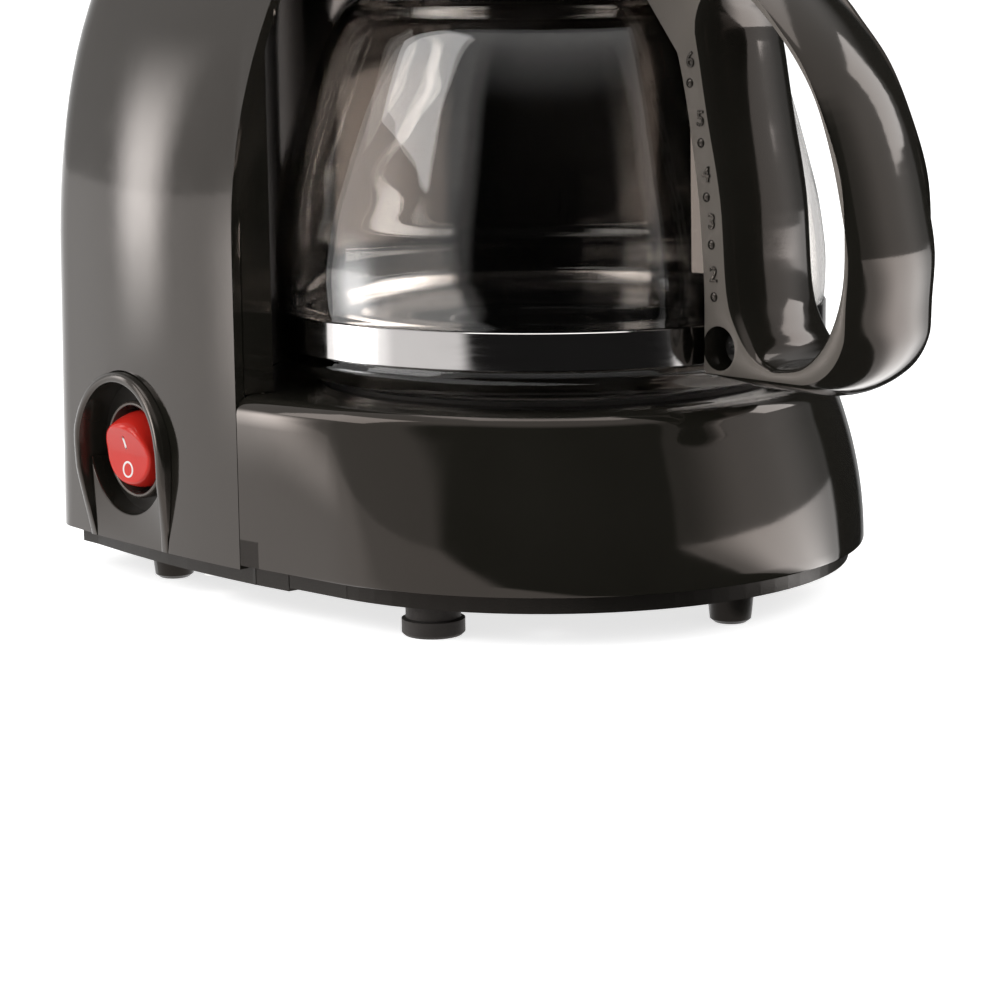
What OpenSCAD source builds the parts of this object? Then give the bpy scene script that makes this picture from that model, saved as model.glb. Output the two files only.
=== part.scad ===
// Drip coffee maker: a round warming base, a domed casing over a carafe bay,
// a glass carafe with a loop handle, and the parts that heat and carry water.
// Millimetres, +Z up. The origin is at the middle of the footprint, on the table.

/* [Base drum] */
// Radius of the drum at its bottom edge
drum_r = 73; // [71:1:76]
// How far the drum wall draws in towards its top edge
drum_taper = 6.5; // [4:0.5:8]
// Height of the drum's bottom edge above the table
skirt_z = 11.3; // [10:0.1:13]
// Height of the drum's deck above the table
deck_z = 49.8; // [46:0.1:54]
// Rounding of the drum's top edge
drum_round = 4; // [2:0.5:6]
// Wall of the plastic mouldings
wall = 2.4; // [2:0.1:3]

/* [Casing] */
// Half width of the casing at the seam
casing_half = 76; // [75:0.5:79]
// How far the sides bulge between seam and back corner
side_bulge = 1.5; // [0.5:0.5:2.5]
// Distance from the carafe axis back to the rear wall
casing_back = 102.5; // [100:0.5:108]
// Radius of the rear corners
corner_r = 18; // [12:1:24]
// Distance from the carafe axis back to the seam with the drum
seam_y = 20; // [18:1:24]
// Height of the casing's bottom edge
casing_z = 10.3; // [9:0.1:12]
// Height at which the casing starts to lean in
lean_z = 78; // [70:1:90]
// Radius of the lean, seen from the front
lean_r = 290; // [280:5:340]
// Height at which the lean goes straight
lean_end = 137; // [130:1:142]
// Height of the casing's top edge, under the lid
rim_z = 200; // [196:1:210]
// Height of the lid's dome
dome_h = 32; // [26:1:38]
// Rearward draft of the back wall, in mm per mm
back_draft = 0.04; // [0.02:0.01:0.06]
// Gap between the lid and the casing
lid_gap = 0.4; // [0.3:0.1:0.8]

/* [Carafe bay] */
// Radius of the concave wall behind the carafe
bay_r = 68.5; // [67:0.5:72]
// Thickness of the concave wall
bay_wall_t = 2; // [1.6:0.1:2.6]
// Height of the head's underside
head_z = 160; // [158:1:166]
// Height at which the casing's front edge starts to sweep forward
sweep_z = 89; // [84:1:92]
// Radius of that sweep, seen from the side
sweep_r = 128; // [120:2:160]

/* [Feet and base plates] */
// Height of the front base plate's underside
plate_z = 7.2; // [6:0.1:8.5]
// How much lower the rear base plate hangs
plate_drop = 0.8; // [0.4:0.1:1.5]
// How far the base plates sit inside the shells
plate_inset = 3.5; // [2.5:0.5:5]
// Thickness of the base plates
plate_t = 2.2; // [1.8:0.1:3]
// Radius of the rubber feet
foot_r = 7; // [6:0.5:8]
// Radius of the moulded pegs
peg_r = 5; // [4:0.5:6]
// Height of the rubber feet's flared rim
foot_rim_h = 3.6; // [3:0.2:4.4]

/* [Warming plate and heater] */
// Radius of the warming plate
hot_r = 50; // [46:1:52]
// Height of the warming plate above the deck
hot_rise = 1.4; // [1:0.1:2]
// Thickness of the warming plate
hot_t = 1.2; // [1:0.1:1.6]
// Width of the seal ring round the warming plate
seal_w = 4; // [3:0.5:5]
// Radius of the heater's horseshoe
heater_r = 34; // [30:1:38]
// Outer radius of the water tube in the heater
tube_r = 5; // [4.5:0.5:5.5]
// Wall of the water tube
tube_t = 1.2; // [1:0.1:1.5]
// Radius of the heating rod
rod_r = 3.4; // [3:0.2:4]

/* [Carafe] */
// Largest radius of the glass
glass_r = 63.7; // [61:0.1:65]
// Glass thickness
glass_t = 2; // [1.6:0.1:2.6]
// Height of the glass from base to shoulder
glass_h = 85.5; // [82:0.5:88]
// Radius of the glass neck
neck_r = 40; // [38:0.5:42]
// Height of the glass neck above the shoulder
neck_h = 12.6; // [10:0.5:14]
// Height of the steel band above the carafe's base
band_low = 7.1; // [6:0.1:8]
// Height of the steel band itself
band_h = 8.5; // [7:0.5:10]
// Thickness of the steel band
band_t = 0.6; // [0.5:0.1:0.9]
// Gap between the carafe's base and the warming plate
rest_gap = 0.3; // [0.2:0.1:0.5]
// Height of the collar round the neck
collar_h = 11; // [9:0.5:12]
// Thickness of the collar
collar_t = 3; // [2.4:0.2:4]
// Height of the carafe lid above the collar
carafe_lid_h = 6; // [5:0.5:7]

/* [Handle] */
// Width of the handle
handle_w = 26; // [22:1:28]
// Distance from the carafe axis to the handle's outermost point
handle_reach = 110.5; // [108:0.5:116]
// Radial thickness of the inner leg
inner_leg_t = 7.5; // [6:0.5:9]
// Radius of the screw's access hole
screw_well_r = 4.8; // [4:0.1:5.2]

/* [Power switch] */
// Distance from the carafe axis back to the switch
switch_y = 63.3; // [60:0.5:66]
// Height of the switch's centre
switch_z = 32.4; // [31:0.2:34]
// Outer radius of the switch's bezel
bezel_r = 11.6; // [11:0.1:12.2]
// Radius of the switch's barrel behind the bezel
barrel_r = 10.9; // [10.7:0.1:11.2]
// Half length of the rocker, along Z
rocker_half = 9.8; // [9:0.1:10]
// Half width of the rocker, along Y
rocker_half_w = 9.4; // [9:0.1:9.5]
// Tilt of the rocker at rest, in degrees
rocker_tilt = 8; // [6:1:10]
// Radius of the round well behind the arch frame
well_r = 15; // [14:0.5:16]
// Thickness of the arch frame's rim
arch_t = 3.2; // [2.6:0.2:4]

/* [Basket and valve] */
// Radius of the filter basket's rim
basket_r = 48; // [46:0.5:49]
// Depth of the filter basket
basket_h = 30; // [26:1:31]
// Radius of the drip-stop valve's stem
stem_r = 3.5; // [3:0.1:4]

/* [Water tank] */
// Wall of the water tank
tank_t = 1.6; // [1.4:0.1:2]
// Gap between the tank and what is round it
tank_gap = 1; // [0.6:0.1:1.5]
// Height of the tank's floor
tank_z = 56; // [54:1:60]
// Height of the tank's brim
tank_top = 192; // [186:1:194]

/* [Fits] */
// Running clearance of pins in their bores
pin_fit = 0.06; // [0.04:0.01:0.1]
// Clearance between fixed parts that nest
nest_gap = 0.3; // [0.2:0.05:0.5]

/* [Hidden] */
$fn = 96;

eps = 0.01;
// The carafe axis stands this far behind the origin, so the footprint is centred
axis_y = (handle_reach - casing_back) / 2;
// Height at which the sweep of the casing's front edge passes into the arch of the bay
sweep_end = lean_end - 2;
hot_z = deck_z + hot_rise;
carafe_z = hot_z + rest_gap;
glass_top = carafe_z + glass_h;
collar_z = glass_top + 1.6;
lid_z = rim_z + lid_gap;
corner_y = casing_back - corner_r;
post_x = 38;
rear_post_y = 42;
post_y = -42;
post_in = 7.5;
rear_z = plate_z - plate_drop;
z_deck_edge = deck_z - drum_round;
holder_r = basket_r - 2;
holder_top = head_z + 34;
outlet_r = 9;
split_y = 8;
front_peg_y = -60;
rear_peg = [63, 66];
screw_head_r = 2.8;
screw_head_h = 1.6;
screw_r = 1.2;
foot_floor = 1.4;
seal_neck = 1.8;
tube_z = hot_z - hot_t - tube_r - 0.1;
rod_z = hot_z - hot_t - rod_r - 0.1;
rod_ring = heater_r - tube_r - rod_r - 0.1;
leg_y = 26;
tube_bend = 10;
hose_turn = 12;
hose_z = 18;
spigot_z = hose_z + hose_turn + 0.2;
pipe_y = 76;
outlet = [-42, pipe_y];
riser = [45.6, 63.2];
valve_low = tank_z - 10;
riser_low = spigot_z;
side_foot = [56, -24.5];
clamp_t = 1.5;
clamp_top = tube_z - tube_r;
clamp_half = heater_r + tube_r;
clamp_w = 12;
clamp_screw_r = 2;
holder_clear = holder_r + wall + tank_gap;
tank_front = 40;
ball_stroke = 2;
spigot_r = 5;
riser_r = 4;
riser_bore = 2.8;
riser_top = tank_top - 8;
spout_top = rim_z + 4;
spout_angle = atan2(riser[1], riser[0]);
spout_shift = 15;
hose_r = 6.4;
ball_r = 3;
valve_r = 6;
valve_bore = 2.2;
flange_t = 1.6;
arch_r = 19;
arch_foot = 16.5;
well_depth = 5;
bezel_h = 3;
barrel_len = 13;
pocket_r = rocker_half + 0.3;
pivot_in = 3.2;
pivot_r = 1;
terminals = [-5, 0, 5];
terminal_x = -side_x(switch_y) + well_depth + barrel_len + 9 + nest_gap;
inlet_x = 40;
inlet_z = 26;
inlet_neck_r = 6;
inlet_bore = 3.7;
flange_out = 2.4;
hinge_x = 28;
ear_gap = 5.2;
ear_t = 3;
knuckle_r = 2.4;
hinge_pin_r = 1.2;
hinge_y = back_at(rim_z) + 0.4;
hinge_z = lid_z + knuckle_r;
knuckle_half = 3;
shower_z = spout_top + 2;
shower_t = 1.6;
shower_r = 30;
shower_post = 16;
basket_top = holder_top + 2;
basket_floor = basket_top - basket_h;
body_r = basket_r - 3.2;
nozzle_z = head_z + 0.6;
bridge_half = 10;
bridge_z = basket_floor + 5;
guide_r = 1.6;
carafe_top = collar_z + collar_h + carafe_lid_h + 0.3;
base_r = glass_r - 12;
band_r = glass_r - 0.6 + 0.1;
band_z = carafe_z + band_low + nest_gap / 2;
tab_y = -69.6;
tab_half = 2.4;
screw_z = band_z + (band_h - nest_gap) / 2;
band_screw_r = 1.6;
nut_x = 6;
leg_inside = [[64.6, 5.4], [64.7, 22], [64, 32], [62.9, 43], [61.2, 53], [59, 64], [55.9, 75], [51.4, 85]];
handle_crown = 3.4;
reach = handle_reach - handle_crown * 8 / 9;
collar_out = neck_r + nest_gap + collar_t + 0.2;
handle_top = glass_h + 8;
drum_side = z_deck_edge - skirt_z;
valve_tip = carafe_top + nest_gap;
ball_seat = sqrt(ball_r * ball_r - valve_bore * valve_bore) + 0.05;

// How far the casing has leaned in at height z
function lean(z) = z < lean_z ? 0
    : z <= lean_end ? (z - lean_z) * (z - lean_z) / (2 * lean_r)
    : lean(lean_end) + (z - lean_end) * (lean_end - lean_z) / lean_r;
function back_at(z) = casing_back - back_draft * (z - casing_z) - 1.2 * lean(z);
// Points along an arc about (cx, cy)
function arc(cx, cy, r, a0, a1, n) =
    [for (i = [0:n]) let (a = a0 + (a1 - a0) * i / n) [cx + r * cos(a), cy + r * sin(a)]];
// The other half of a symmetric outline
function mirrored(p) = [for (i = [len(p) - 1:-1:0]) [-p[i][0], p[i][1]]];
// Half width of the casing's side, at a distance y behind the carafe axis
function side_x(y) = casing_half + side_bulge * sin(180 * (y - seam_y) / (corner_y - seam_y));
function bezier(p, t) = pow(1 - t, 3) * p[0] + 3 * t * pow(1 - t, 2) * p[1]
    + 3 * t * t * (1 - t) * p[2] + pow(t, 3) * p[3];

// A smooth open curve through a list of points, with n steps between neighbours
function spline_at(a, b, c, d, t) = 0.5 * (2 * b + (c - a) * t + (2 * a - 5 * b + 4 * c - d) * t * t
    + (3 * b - a - 3 * c + d) * t * t * t);
function smooth(p, n) = concat([for (i = [0:len(p) - 2], k = [0:n - 1])
    spline_at(p[max(i - 1, 0)], p[i], p[i + 1], p[min(i + 2, len(p) - 1)], k / n)], [p[len(p) - 1]]);

module along_x(length) {
    rotate([90, 0, 90]) translate([0, 0, -length / 2]) linear_extrude(length) children();
}
module along_y(length) {
    rotate([90, 0, 0]) translate([0, 0, -length / 2]) linear_extrude(length) children();
}
module mirror_x() {
    children();
    mirror([1, 0, 0]) children();
}

// A round tube or wire of radius r along four bezier points
module swept(p, r, rings = 18, sides = 10, reach = 0) {
    ts = [for (i = [0:rings]) -reach + (1 + 2 * reach) * i / rings];
    pts = [for (t = ts) bezier(p, t)];
    dirs = [for (t = ts) let (d = bezier(p, t + 0.01) - bezier(p, t - 0.01)) d / norm(d)];
    up = [0.13, 0.29, 0.95];
    rings_pts = [for (i = [0:rings]) let (u = cross(dirs[i], up), a = u / norm(u), b = cross(dirs[i], a))
        for (k = [0:sides - 1]) pts[i] + r * (cos(360 * k / sides) * a + sin(360 * k / sides) * b)];
    quads = [for (i = [0:rings - 1], k = [0:sides - 1]) let (n = (k + 1) % sides)
        [i * sides + k, i * sides + n, (i + 1) * sides + n, (i + 1) * sides + k]];
    first = [[for (k = [sides - 1:-1:0]) k]];
    last = [[for (k = [0:sides - 1]) rings * sides + k]];
    polyhedron(rings_pts, concat(quads, first, last));
}

// Heights between which the casing's walls are straight
lean_steps = [for (k = [0:6]) lean_z + (lean_end - lean_z) * k / 6];
lean_shift = (lean_end - lean_z) / 12;
// Half width of the casing at height z, where its sides have lost their bulge by the end of the lean
function half_at(z) = casing_half - lean(z) + side_bulge * (1 - min(1, lean(z) / lean(lean_end)));
// Seen from above, the tower's sides bulge a little, drawn in by i
module tower_plan(i) {
    steps = 8;
    side = [for (k = [0:steps]) let (y = seam_y + (corner_y - seam_y) * k / steps) [side_x(y) - i, y]];
    half = concat([[casing_half - i, -casing_half]], side, [[casing_half - i, casing_back + corner_r]]);
    polygon(concat(half, mirrored(half)));
}
// A body with a round front about the carafe axis, straight sides and rounded rear corners.
// Each level is [z, half width, distance to the back, corner radius]. The levels of the corners'
// outer flats lie between the others, so no more than three flats meet in a point
module round_fronted(levels, between) {
    far = 3 * casing_back;
    low = levels[0][0];
    high = levels[len(levels) - 1][0];
    intersection() {
        union() {
            rotate_extrude() polygon(concat([[0, low]], [for (l = levels) [l[1], l[0]]], [[0, high]]));
            translate([-far / 2, 0, 0]) cube(far);
        }
        along_y(far) polygon(concat([for (l = levels) [l[1], l[0]]],
            [for (k = [len(levels) - 1:-1:0]) [-levels[k][1], levels[k][0]]]));
        along_x(far) polygon(concat([for (l = levels) [l[2], l[0]]], [[-far / 2, high], [-far / 2, low]]));
        corner_cuts(levels, between);
        mirror([1, 0, 0]) corner_cuts(levels, between);
    }
}
// Flats that round a rear corner
module corner_cuts(levels, between) {
    intersection() {
        corner_flat(between, 22.5);
        corner_flat(levels, 45);
        corner_flat(between, 67.5);
    }
}
module corner_flat(levels, a) {
    far = 3 * casing_back;
    low = levels[0][0];
    high = levels[len(levels) - 1][0];
    rotate(a) along_y(far)
        polygon(concat([for (l = levels) [(l[1] - l[3]) * cos(a) + (l[2] - l[3]) * sin(a) + l[3], l[0]]],
            [[-far / 2, high], [-far / 2, low]]));
}
function casing_levels(i, z0, z1, steps) = let (zs = concat([z0],
    [for (z = steps) if (z > z0 + 1 && z < z1 - 1) z], [z1]))
    [for (z = zs) [z, half_at(z) - i, back_at(z) - i, corner_r - i]];
// The casing's outer form between two heights, drawn in by i
module casing_form(i, z0, z1) {
    intersection() {
        translate([0, 0, z0]) linear_extrude(z1 - z0) tower_plan(i);
        round_fronted(casing_levels(i, z0, z1, lean_steps), casing_levels(i, z0, z1,
            [for (z = lean_steps) z + lean_shift]));
    }
}
// Everything in front of the seam and below the head
module bay_space() {
    far = 2 * casing_back;
    rise = sweep_end - sweep_z;
    turn = atan(rise / sweep_r);
    arch = (head_z - sweep_end) / (1 - sin(turn));
    along_x(3 * casing_back) polygon(concat([[-far, -1], [seam_y, -1]],
        [for (k = [0:3]) [seam_y - pow(rise * k / 4, 2) / (2 * sweep_r), sweep_z + rise * k / 4]],
        arc(seam_y - rise * rise / (2 * sweep_r) - arch * cos(turn), head_z - arch, arch, turn, 90, 10),
        [[-far, head_z]]));
}
module outer_casing() color("#17181a") {
    difference() {
        casing_form(0, casing_z, rim_z);
        casing_form(wall, casing_z - 1, rim_z + 1);
        bay_space();
        on_switch(side_x(switch_y)) translate([0, 0, -2 * wall]) linear_extrude(4 * wall) arch_outline(0);
        translate([inlet_x, casing_back, inlet_z]) rotate([90, 0, 0]) cylinder(h = 30,
            r = inlet_neck_r + nest_gap, center = true);
    }
    // Hinge ears on the rear rim
    mirror_x() for (x = [hinge_x - ear_gap, hinge_x + ear_gap]) hinge_ear(x);
    // Screw posts for the rear base plate
    rear_posts() {
        screw_post(rear_z + plate_t + eps, casing_z + 30);
        translate([2, -1, skirt_z + 3.3]) cube([post_in - 1.4, 2, casing_z + 25 - skirt_z]);
    }
}

// Places of the screws and feet
module front_posts() mirror_x() translate([post_x, post_y, 0]) children();
module rear_posts() mirror_x() translate([side_x(rear_post_y) - wall - post_in, rear_post_y, 0]) children();
module screw_post(z0, z1) {
    difference() {
        translate([0, 0, z0]) cylinder(h = z1 - z0, r = 3.6);
        translate([0, 0, z0 - 1]) cylinder(h = 13, r = 1.3);
    }
}

// Drum
function drum_in(z) = drum_taper * pow((z - skirt_z) / drum_side, 2);
module drum_profile(i) {
    steps = 9;
    wallpts = [for (k = [0:steps]) let (z = skirt_z + drum_side * k / steps) [drum_r - drum_in(z) - i, z]];
    r_top = drum_r - drum_taper;
    polygon(concat([[0, skirt_z - (i > 0 ? 1 : 0)], [drum_r - i, skirt_z - (i > 0 ? 1 : 0)]], wallpts,
        arc(r_top - drum_round, z_deck_edge, drum_round - (i > 0 ? i : 0), 0, 90, 6), [[0, deck_z - i]]));
}
// Straight cheeks run from the round drum back to the seam
module drum_form(i) {
    far = 4 * drum_r;
    steps = 9;
    taper = [for (k = [0:steps]) let (z = skirt_z + drum_side * k / steps) [casing_half - drum_in(z) - i, z]];
    intersection() {
        rotate_extrude() drum_profile(i);
        translate([-far / 2, -far, 0]) cube([far, far + seam_y, far]);
    }
    intersection() {
        linear_extrude(deck_z - i) polygon([[-casing_half + i, seam_y], [-drum_r * cos(8) + i,
            -drum_r * sin(8)],
            [drum_r * cos(8) - i, -drum_r * sin(8)], [casing_half - i, seam_y]]);
        along_y(far) polygon(concat([[0, skirt_z - (i > 0 ? 1 : 0)], [casing_half - i,
            skirt_z - (i > 0 ? 1 : 0)]], taper,
            [[casing_half - drum_taper - drum_round, deck_z - i], [0, deck_z - i]],
            mirrored([[casing_half - drum_taper - drum_round, deck_z - i]]),
            mirrored(concat([[casing_half - i, skirt_z - (i > 0 ? 1 : 0)]], taper))));
    }
}
module drum_housing() color("#141416") {
    difference() {
        union() {
            difference() {
                drum_form(0);
                drum_form(wall);
            }
            translate([0, 0, deck_z - wall]) cylinder(h = wall, r = bay_r - nest_gap);
            front_posts() screw_post(plate_z + plate_t + eps, deck_z - wall / 2);
        }
        translate([0, 0, deck_z - 4 * wall]) cylinder(h = 8 * wall, r = hot_r + seal_neck + nest_gap);
    }
}
module bay_wall() color("#101012") {
    intersection() {
        casing_form(wall + nest_gap, deck_z, head_z);
        union() {
            difference() {
                translate([0, 0, deck_z]) cylinder(h = head_z - deck_z, r = bay_r + bay_wall_t);
                translate([0, 0, deck_z - 1]) cylinder(h = head_z, r = bay_r);
                translate([-2 * bay_r, seam_y - 4 * bay_r, 0]) cube(4 * bay_r);
            }
            mirror_x() translate([sqrt(bay_r * bay_r - seam_y * seam_y), seam_y, deck_z])
                cube([casing_half, bay_wall_t, head_z - deck_z]);
        }
    }
}

// Head: the well that holds the basket, and the floor round it
module brew_housing() color("#141416") {
    difference() {
        union() {
            intersection() {
                casing_form(wall + nest_gap, head_z, head_z + wall);
                union() {
                    translate([-casing_half, -2 * casing_half, head_z]) cube([2 * casing_half,
                        2 * casing_half + seam_y, wall]);
                    translate([0, 0, head_z]) cylinder(h = wall, r = bay_r + bay_wall_t);
                }
            }
            translate([0, 0, head_z]) cylinder(h = holder_top - head_z, r = holder_r + wall - 0.2);
        }
        translate([0, 0, head_z + wall]) cylinder(h = holder_top, r = holder_r);
        translate([0, 0, head_z - 1]) cylinder(h = 10, r = outlet_r);
    }
}

// Base plates
// Outline of the drum and its cheeks seen from above, drawn in by i
module drum_plan(i) {
    turn = 8;
    circle(drum_r - i);
    polygon([[-casing_half + i, seam_y], [-drum_r * cos(turn) + i, -drum_r * sin(turn)],
        [drum_r * cos(turn) - i, -drum_r * sin(turn)], [casing_half - i, seam_y]]);
}
// Outline of both base plates together, drawn in by i
module plate_plan(i) {
    half = casing_half + side_bulge - corner_r;
    offset(delta = -i) union() {
        drum_plan(plate_inset);
        intersection() {
            tower_plan(plate_inset);
            translate([-half, -casing_back]) offset(r = corner_r - plate_inset) square([2 * half,
                2 * casing_back - corner_r]);
            translate([-casing_half, seam_y - 1]) square([2 * casing_half, 2 * casing_half]);
        }
    }
}
module plate_dish(z, y0, y1) {
    intersection() {
        difference() {
            translate([0, 0, z]) linear_extrude(skirt_z + 3 - z) plate_plan(0);
            translate([0, 0, z + plate_t]) linear_extrude(skirt_z) plate_plan(plate_t);
        }
        translate([-2 * casing_half, y0, 0]) cube([4 * casing_half, y1 - y0, deck_z]);
    }
}
module front_base_plate() color("#1b1b1d") {
    difference() {
        union() {
            plate_dish(plate_z, -2 * drum_r, split_y);
            translate([0, front_peg_y, 0]) peg(plate_z + eps);
            mirror_x() translate([side_foot[0], side_foot[1],
                foot_floor]) cylinder(h = plate_z - foot_floor + eps, r = peg_r);
        }
        front_posts() screw_hole(plate_z);
    }
}
module rear_base_plate() color("#1b1b1d") {
    difference() {
        union() {
            plate_dish(rear_z, split_y + nest_gap, 2 * casing_back);
            mirror_x() translate([rear_peg[0], rear_peg[1], 0]) peg(rear_z + eps);
        }
        rear_posts() screw_hole(rear_z);
        // Vent slots under the heater
        for (x = [-24:8:24]) translate([x - 1.5, 34, 0]) cube([3, 26, deck_z / 2]);
    }
}
module peg(h) rotate_extrude() polygon([[0, 0], [peg_r - 1.4, 0], [peg_r - 0.4, 0.8], [peg_r + 0.3, h],
    [0, h]]);
module screw_hole(z) {
    translate([0, 0, z - 1]) cylinder(h = 2 * plate_t + 2, r = screw_r + 0.4);
}
module rubber_feet() color("#0c0c0d") {
    grip = 0.1;
    mirror_x() translate([side_foot[0], side_foot[1], 0]) rotate_extrude() polygon([[0, 0],
        [foot_r - 0.6, 0],
        [foot_r, 0.6], [foot_r, foot_rim_h], [foot_r - 0.9, foot_rim_h + 0.3], [foot_r - 0.9,
            plate_z - 0.1],
        [peg_r + grip, plate_z - 0.1], [peg_r + grip, foot_floor], [0, foot_floor]]);
}
module base_screws() color("#8d9095") {
    front_posts() base_screw(plate_z);
    rear_posts() base_screw(rear_z);
}
module base_screw(z) {
    difference() {
        union() {
            translate([0, 0, z - screw_head_h]) cylinder(h = screw_head_h, r = screw_head_r);
            translate([0, 0, z - eps]) cylinder(h = 11, r = screw_r);
        }
        for (a = [0, 90]) rotate(a) translate([-1.6, -0.3, z - screw_head_h - 1]) cube([3.2, 0.6, 1.8]);
    }
}

// Warming plate and heater
module warming_plate() color("#2a2b2e") {
    lip = 3.2;
    rotate_extrude() polygon([[0, hot_z - hot_t], [hot_r - hot_t - 1, hot_z - hot_t], [hot_r - hot_t,
        hot_z - hot_t - 1],
        [hot_r - hot_t, hot_z - lip], [hot_r, hot_z - lip], [hot_r, hot_z - 1], [hot_r - 1, hot_z], [0,
            hot_z]]);
}
module plate_seal() color("#202124") {
    inner = hot_r + 0.2;
    rotate_extrude() polygon([[inner, deck_z - wall - 0.6], [inner + 1.4, deck_z - wall - 0.6],
        [inner + 1.4, deck_z + 0.05],
        [hot_r + seal_w, deck_z + 0.05], [hot_r + seal_w - 0.4, deck_z + 0.8], [inner, deck_z + 0.8]]);
}
// A U of round bar in a level plane, whose legs run back to y
module bar_u(ring, r, z, y) {
    translate([0, 0, z]) {
        rotate(180) rotate_extrude(angle = 180) translate([ring, 0]) circle(r);
        mirror_x() translate([ring, 0, 0]) rotate([-90, 0, 0]) cylinder(h = y, r = r);
    }
}
// Quarter bend of round bar in the plane across X: from running along Y to running down or up
module bend(r, turn, a) rotate([90, 0, 90]) rotate(a) rotate_extrude(angle = 90) translate([turn,
    0]) circle(r);
module heater_bore(r, extra) {
    bar_u(heater_r, r, tube_z, leg_y + eps);
    mirror_x() {
        translate([heater_r, leg_y, tube_z - tube_bend]) bend(r, tube_bend, 0);
        translate([heater_r, leg_y + tube_bend,
            spigot_z - extra]) cylinder(h = tube_z - tube_bend - spigot_z + extra + eps, r = r);
    }
}
module water_heater_tube() color("#b9bcc0") {
    difference() {
        heater_bore(tube_r, 0);
        heater_bore(tube_r - tube_t, 1);
    }
}
module heating_rod() color("#6d6f73") {
    bar_u(rod_ring, rod_r, rod_z, leg_y - 4);
    // Cold pins at the two ends
    mirror_x() translate([rod_ring, leg_y - 5, rod_z]) rotate([-90, 0, 0]) cylinder(h = 11, r = 1.2);
}
module heater_clamp() color("#a9abae") {
    difference() {
        translate([-clamp_half, -clamp_w / 2, clamp_top - clamp_t]) cube([2 * clamp_half, clamp_w,
            clamp_t]);
        translate([0, 0, clamp_top - 2 * clamp_t]) cylinder(h = 3 * clamp_t, r = clamp_screw_r + 0.2);
    }
}
module clamp_screw() color("#c3c5c8") {
    head = 2.4;
    translate([0, 0, clamp_top - clamp_t - head]) cylinder(h = head, r = 3.6, $fn = 6);
    translate([0, 0, clamp_top - clamp_t - eps]) cylinder(h = hot_z - hot_t - clamp_top + clamp_t,
        r = clamp_screw_r);
}
module thermostat() color("#d8d2c4") {
    body = 6;
    translate([20, 0, clamp_top - clamp_t - body]) {
        cylinder(h = body, r = 8);
        for (y = [-4, 4]) translate([-0.4, y - 3, -7]) cube([0.8, 5, 7 + eps]);
    }
}
module thermal_fuses() color("#c9b48a") {
    fuse_r = 2;
    for (x = [-16, -24]) translate([x, 0, clamp_top - clamp_t - fuse_r]) rotate([90, 0, 0]) {
        cylinder(h = 11, r = fuse_r, center = true);
        cylinder(h = 22, r = 0.5, center = true);
    }
}

// Water path
module tank_form(i, z0, z1) {
    intersection() {
        difference() {
            casing_form(wall + tank_gap + i, z0, z1);
            translate([0, 0, -1]) cylinder(h = head_z + wall + tank_gap + i + 1,
                r = bay_r + bay_wall_t + tank_gap + i);
            translate([0, 0, head_z]) cylinder(h = deck_z * 3, r = holder_clear + i);
        }
        translate([-2 * casing_half, tank_front + i, 0]) cube(4 * casing_half);
    }
}
module water_tank() color("#b8bcc2", 0.6) {
    difference() {
        union() {
            difference() {
                tank_form(0, tank_z, tank_top);
                tank_form(tank_t, tank_z + tank_t, tank_top + 1);
            }
            translate([riser[0], riser[1], tank_z]) cylinder(h = 8, r = riser_r + 1.6);
        }
        translate([outlet[0], outlet[1], tank_z - 7]) cylinder(h = 20, r = valve_r + 0.1);
        translate([riser[0], riser[1], tank_z - 1]) cylinder(h = 20, r = riser_r + 0.1);
    }
}
module riser_tube() color("#cfd3d6") {
    difference() {
        union() {
            translate([riser[0], riser[1], riser_low]) cylinder(h = riser_top - riser_low, r = riser_r);
            // Barb that fills the hose
            translate([riser[0], riser[1], riser_low]) cylinder(h = valve_low + 2 - riser_low,
                r = spigot_r);
        }
        translate([riser[0], riser[1], riser_low - 1]) cylinder(h = riser_top, r = riser_bore);
    }
}
module water_spout() color("#1d1e20") {
    sleeve = 8;
    difference() {
        union() {
            translate([riser[0], riser[1], riser_top - sleeve]) cylinder(h = sleeve + 1, r = riser_r + 1.2);
            spout_way(riser_r + 1.2);
        }
        translate([riser[0], riser[1], riser_top - sleeve - 1]) cylinder(h = sleeve + 1, r = riser_r + 0.1);
        spout_way(riser_bore);
        translate([riser[0], riser[1], riser_top - 2]) cylinder(h = 4, r = riser_bore);
        spout_mouth(spout_top - 1) cylinder(h = 3, r = riser_bore);
    }
}
// Moves to a height above the spout's mouth, which stands nearer the carafe axis than the riser
module spout_mouth(z) rotate(spout_angle) translate([norm(riser) - spout_shift, 0, z]) children();
module spout_way(r) {
    knee = riser_top + spout_shift;
    translate([riser[0], riser[1], riser_top]) sphere(r + 0.02);
    translate([riser[0], riser[1], riser_top]) rotate([0, 0, spout_angle]) rotate([0, -45,
        0]) cylinder(h = spout_shift * sqrt(2), r = r);
    spout_mouth(knee) sphere(r + 0.02);
    spout_mouth(knee) cylinder(h = spout_top - knee, r = r);
}
module check_valve() color("#d9dadb") {
    tall = tank_z + tank_t + flange_t - valve_low;
    translate([outlet[0], outlet[1], valve_low]) difference() {
        union() {
            cylinder(h = tall, r = valve_r);
            translate([0, 0, tall - flange_t]) cylinder(h = flange_t, r = valve_r + 2.4);
            translate([0, 0, spigot_z - valve_low]) cylinder(h = valve_low - spigot_z + eps, r = spigot_r);
        }
        translate([0, 0, 2]) cylinder(h = 2 * ball_seat + ball_stroke, r = ball_r + 1);
        translate([0, 0, spigot_z - valve_low - 1]) cylinder(h = tall + valve_low - spigot_z + 2,
            r = valve_bore);
    }
}
module check_ball() color("#b23a2e") {
    // It rests on the rim of the valve's lower bore
    translate([outlet[0], outlet[1], valve_low + 2 + ball_seat]) sphere(ball_r);
}
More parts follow.
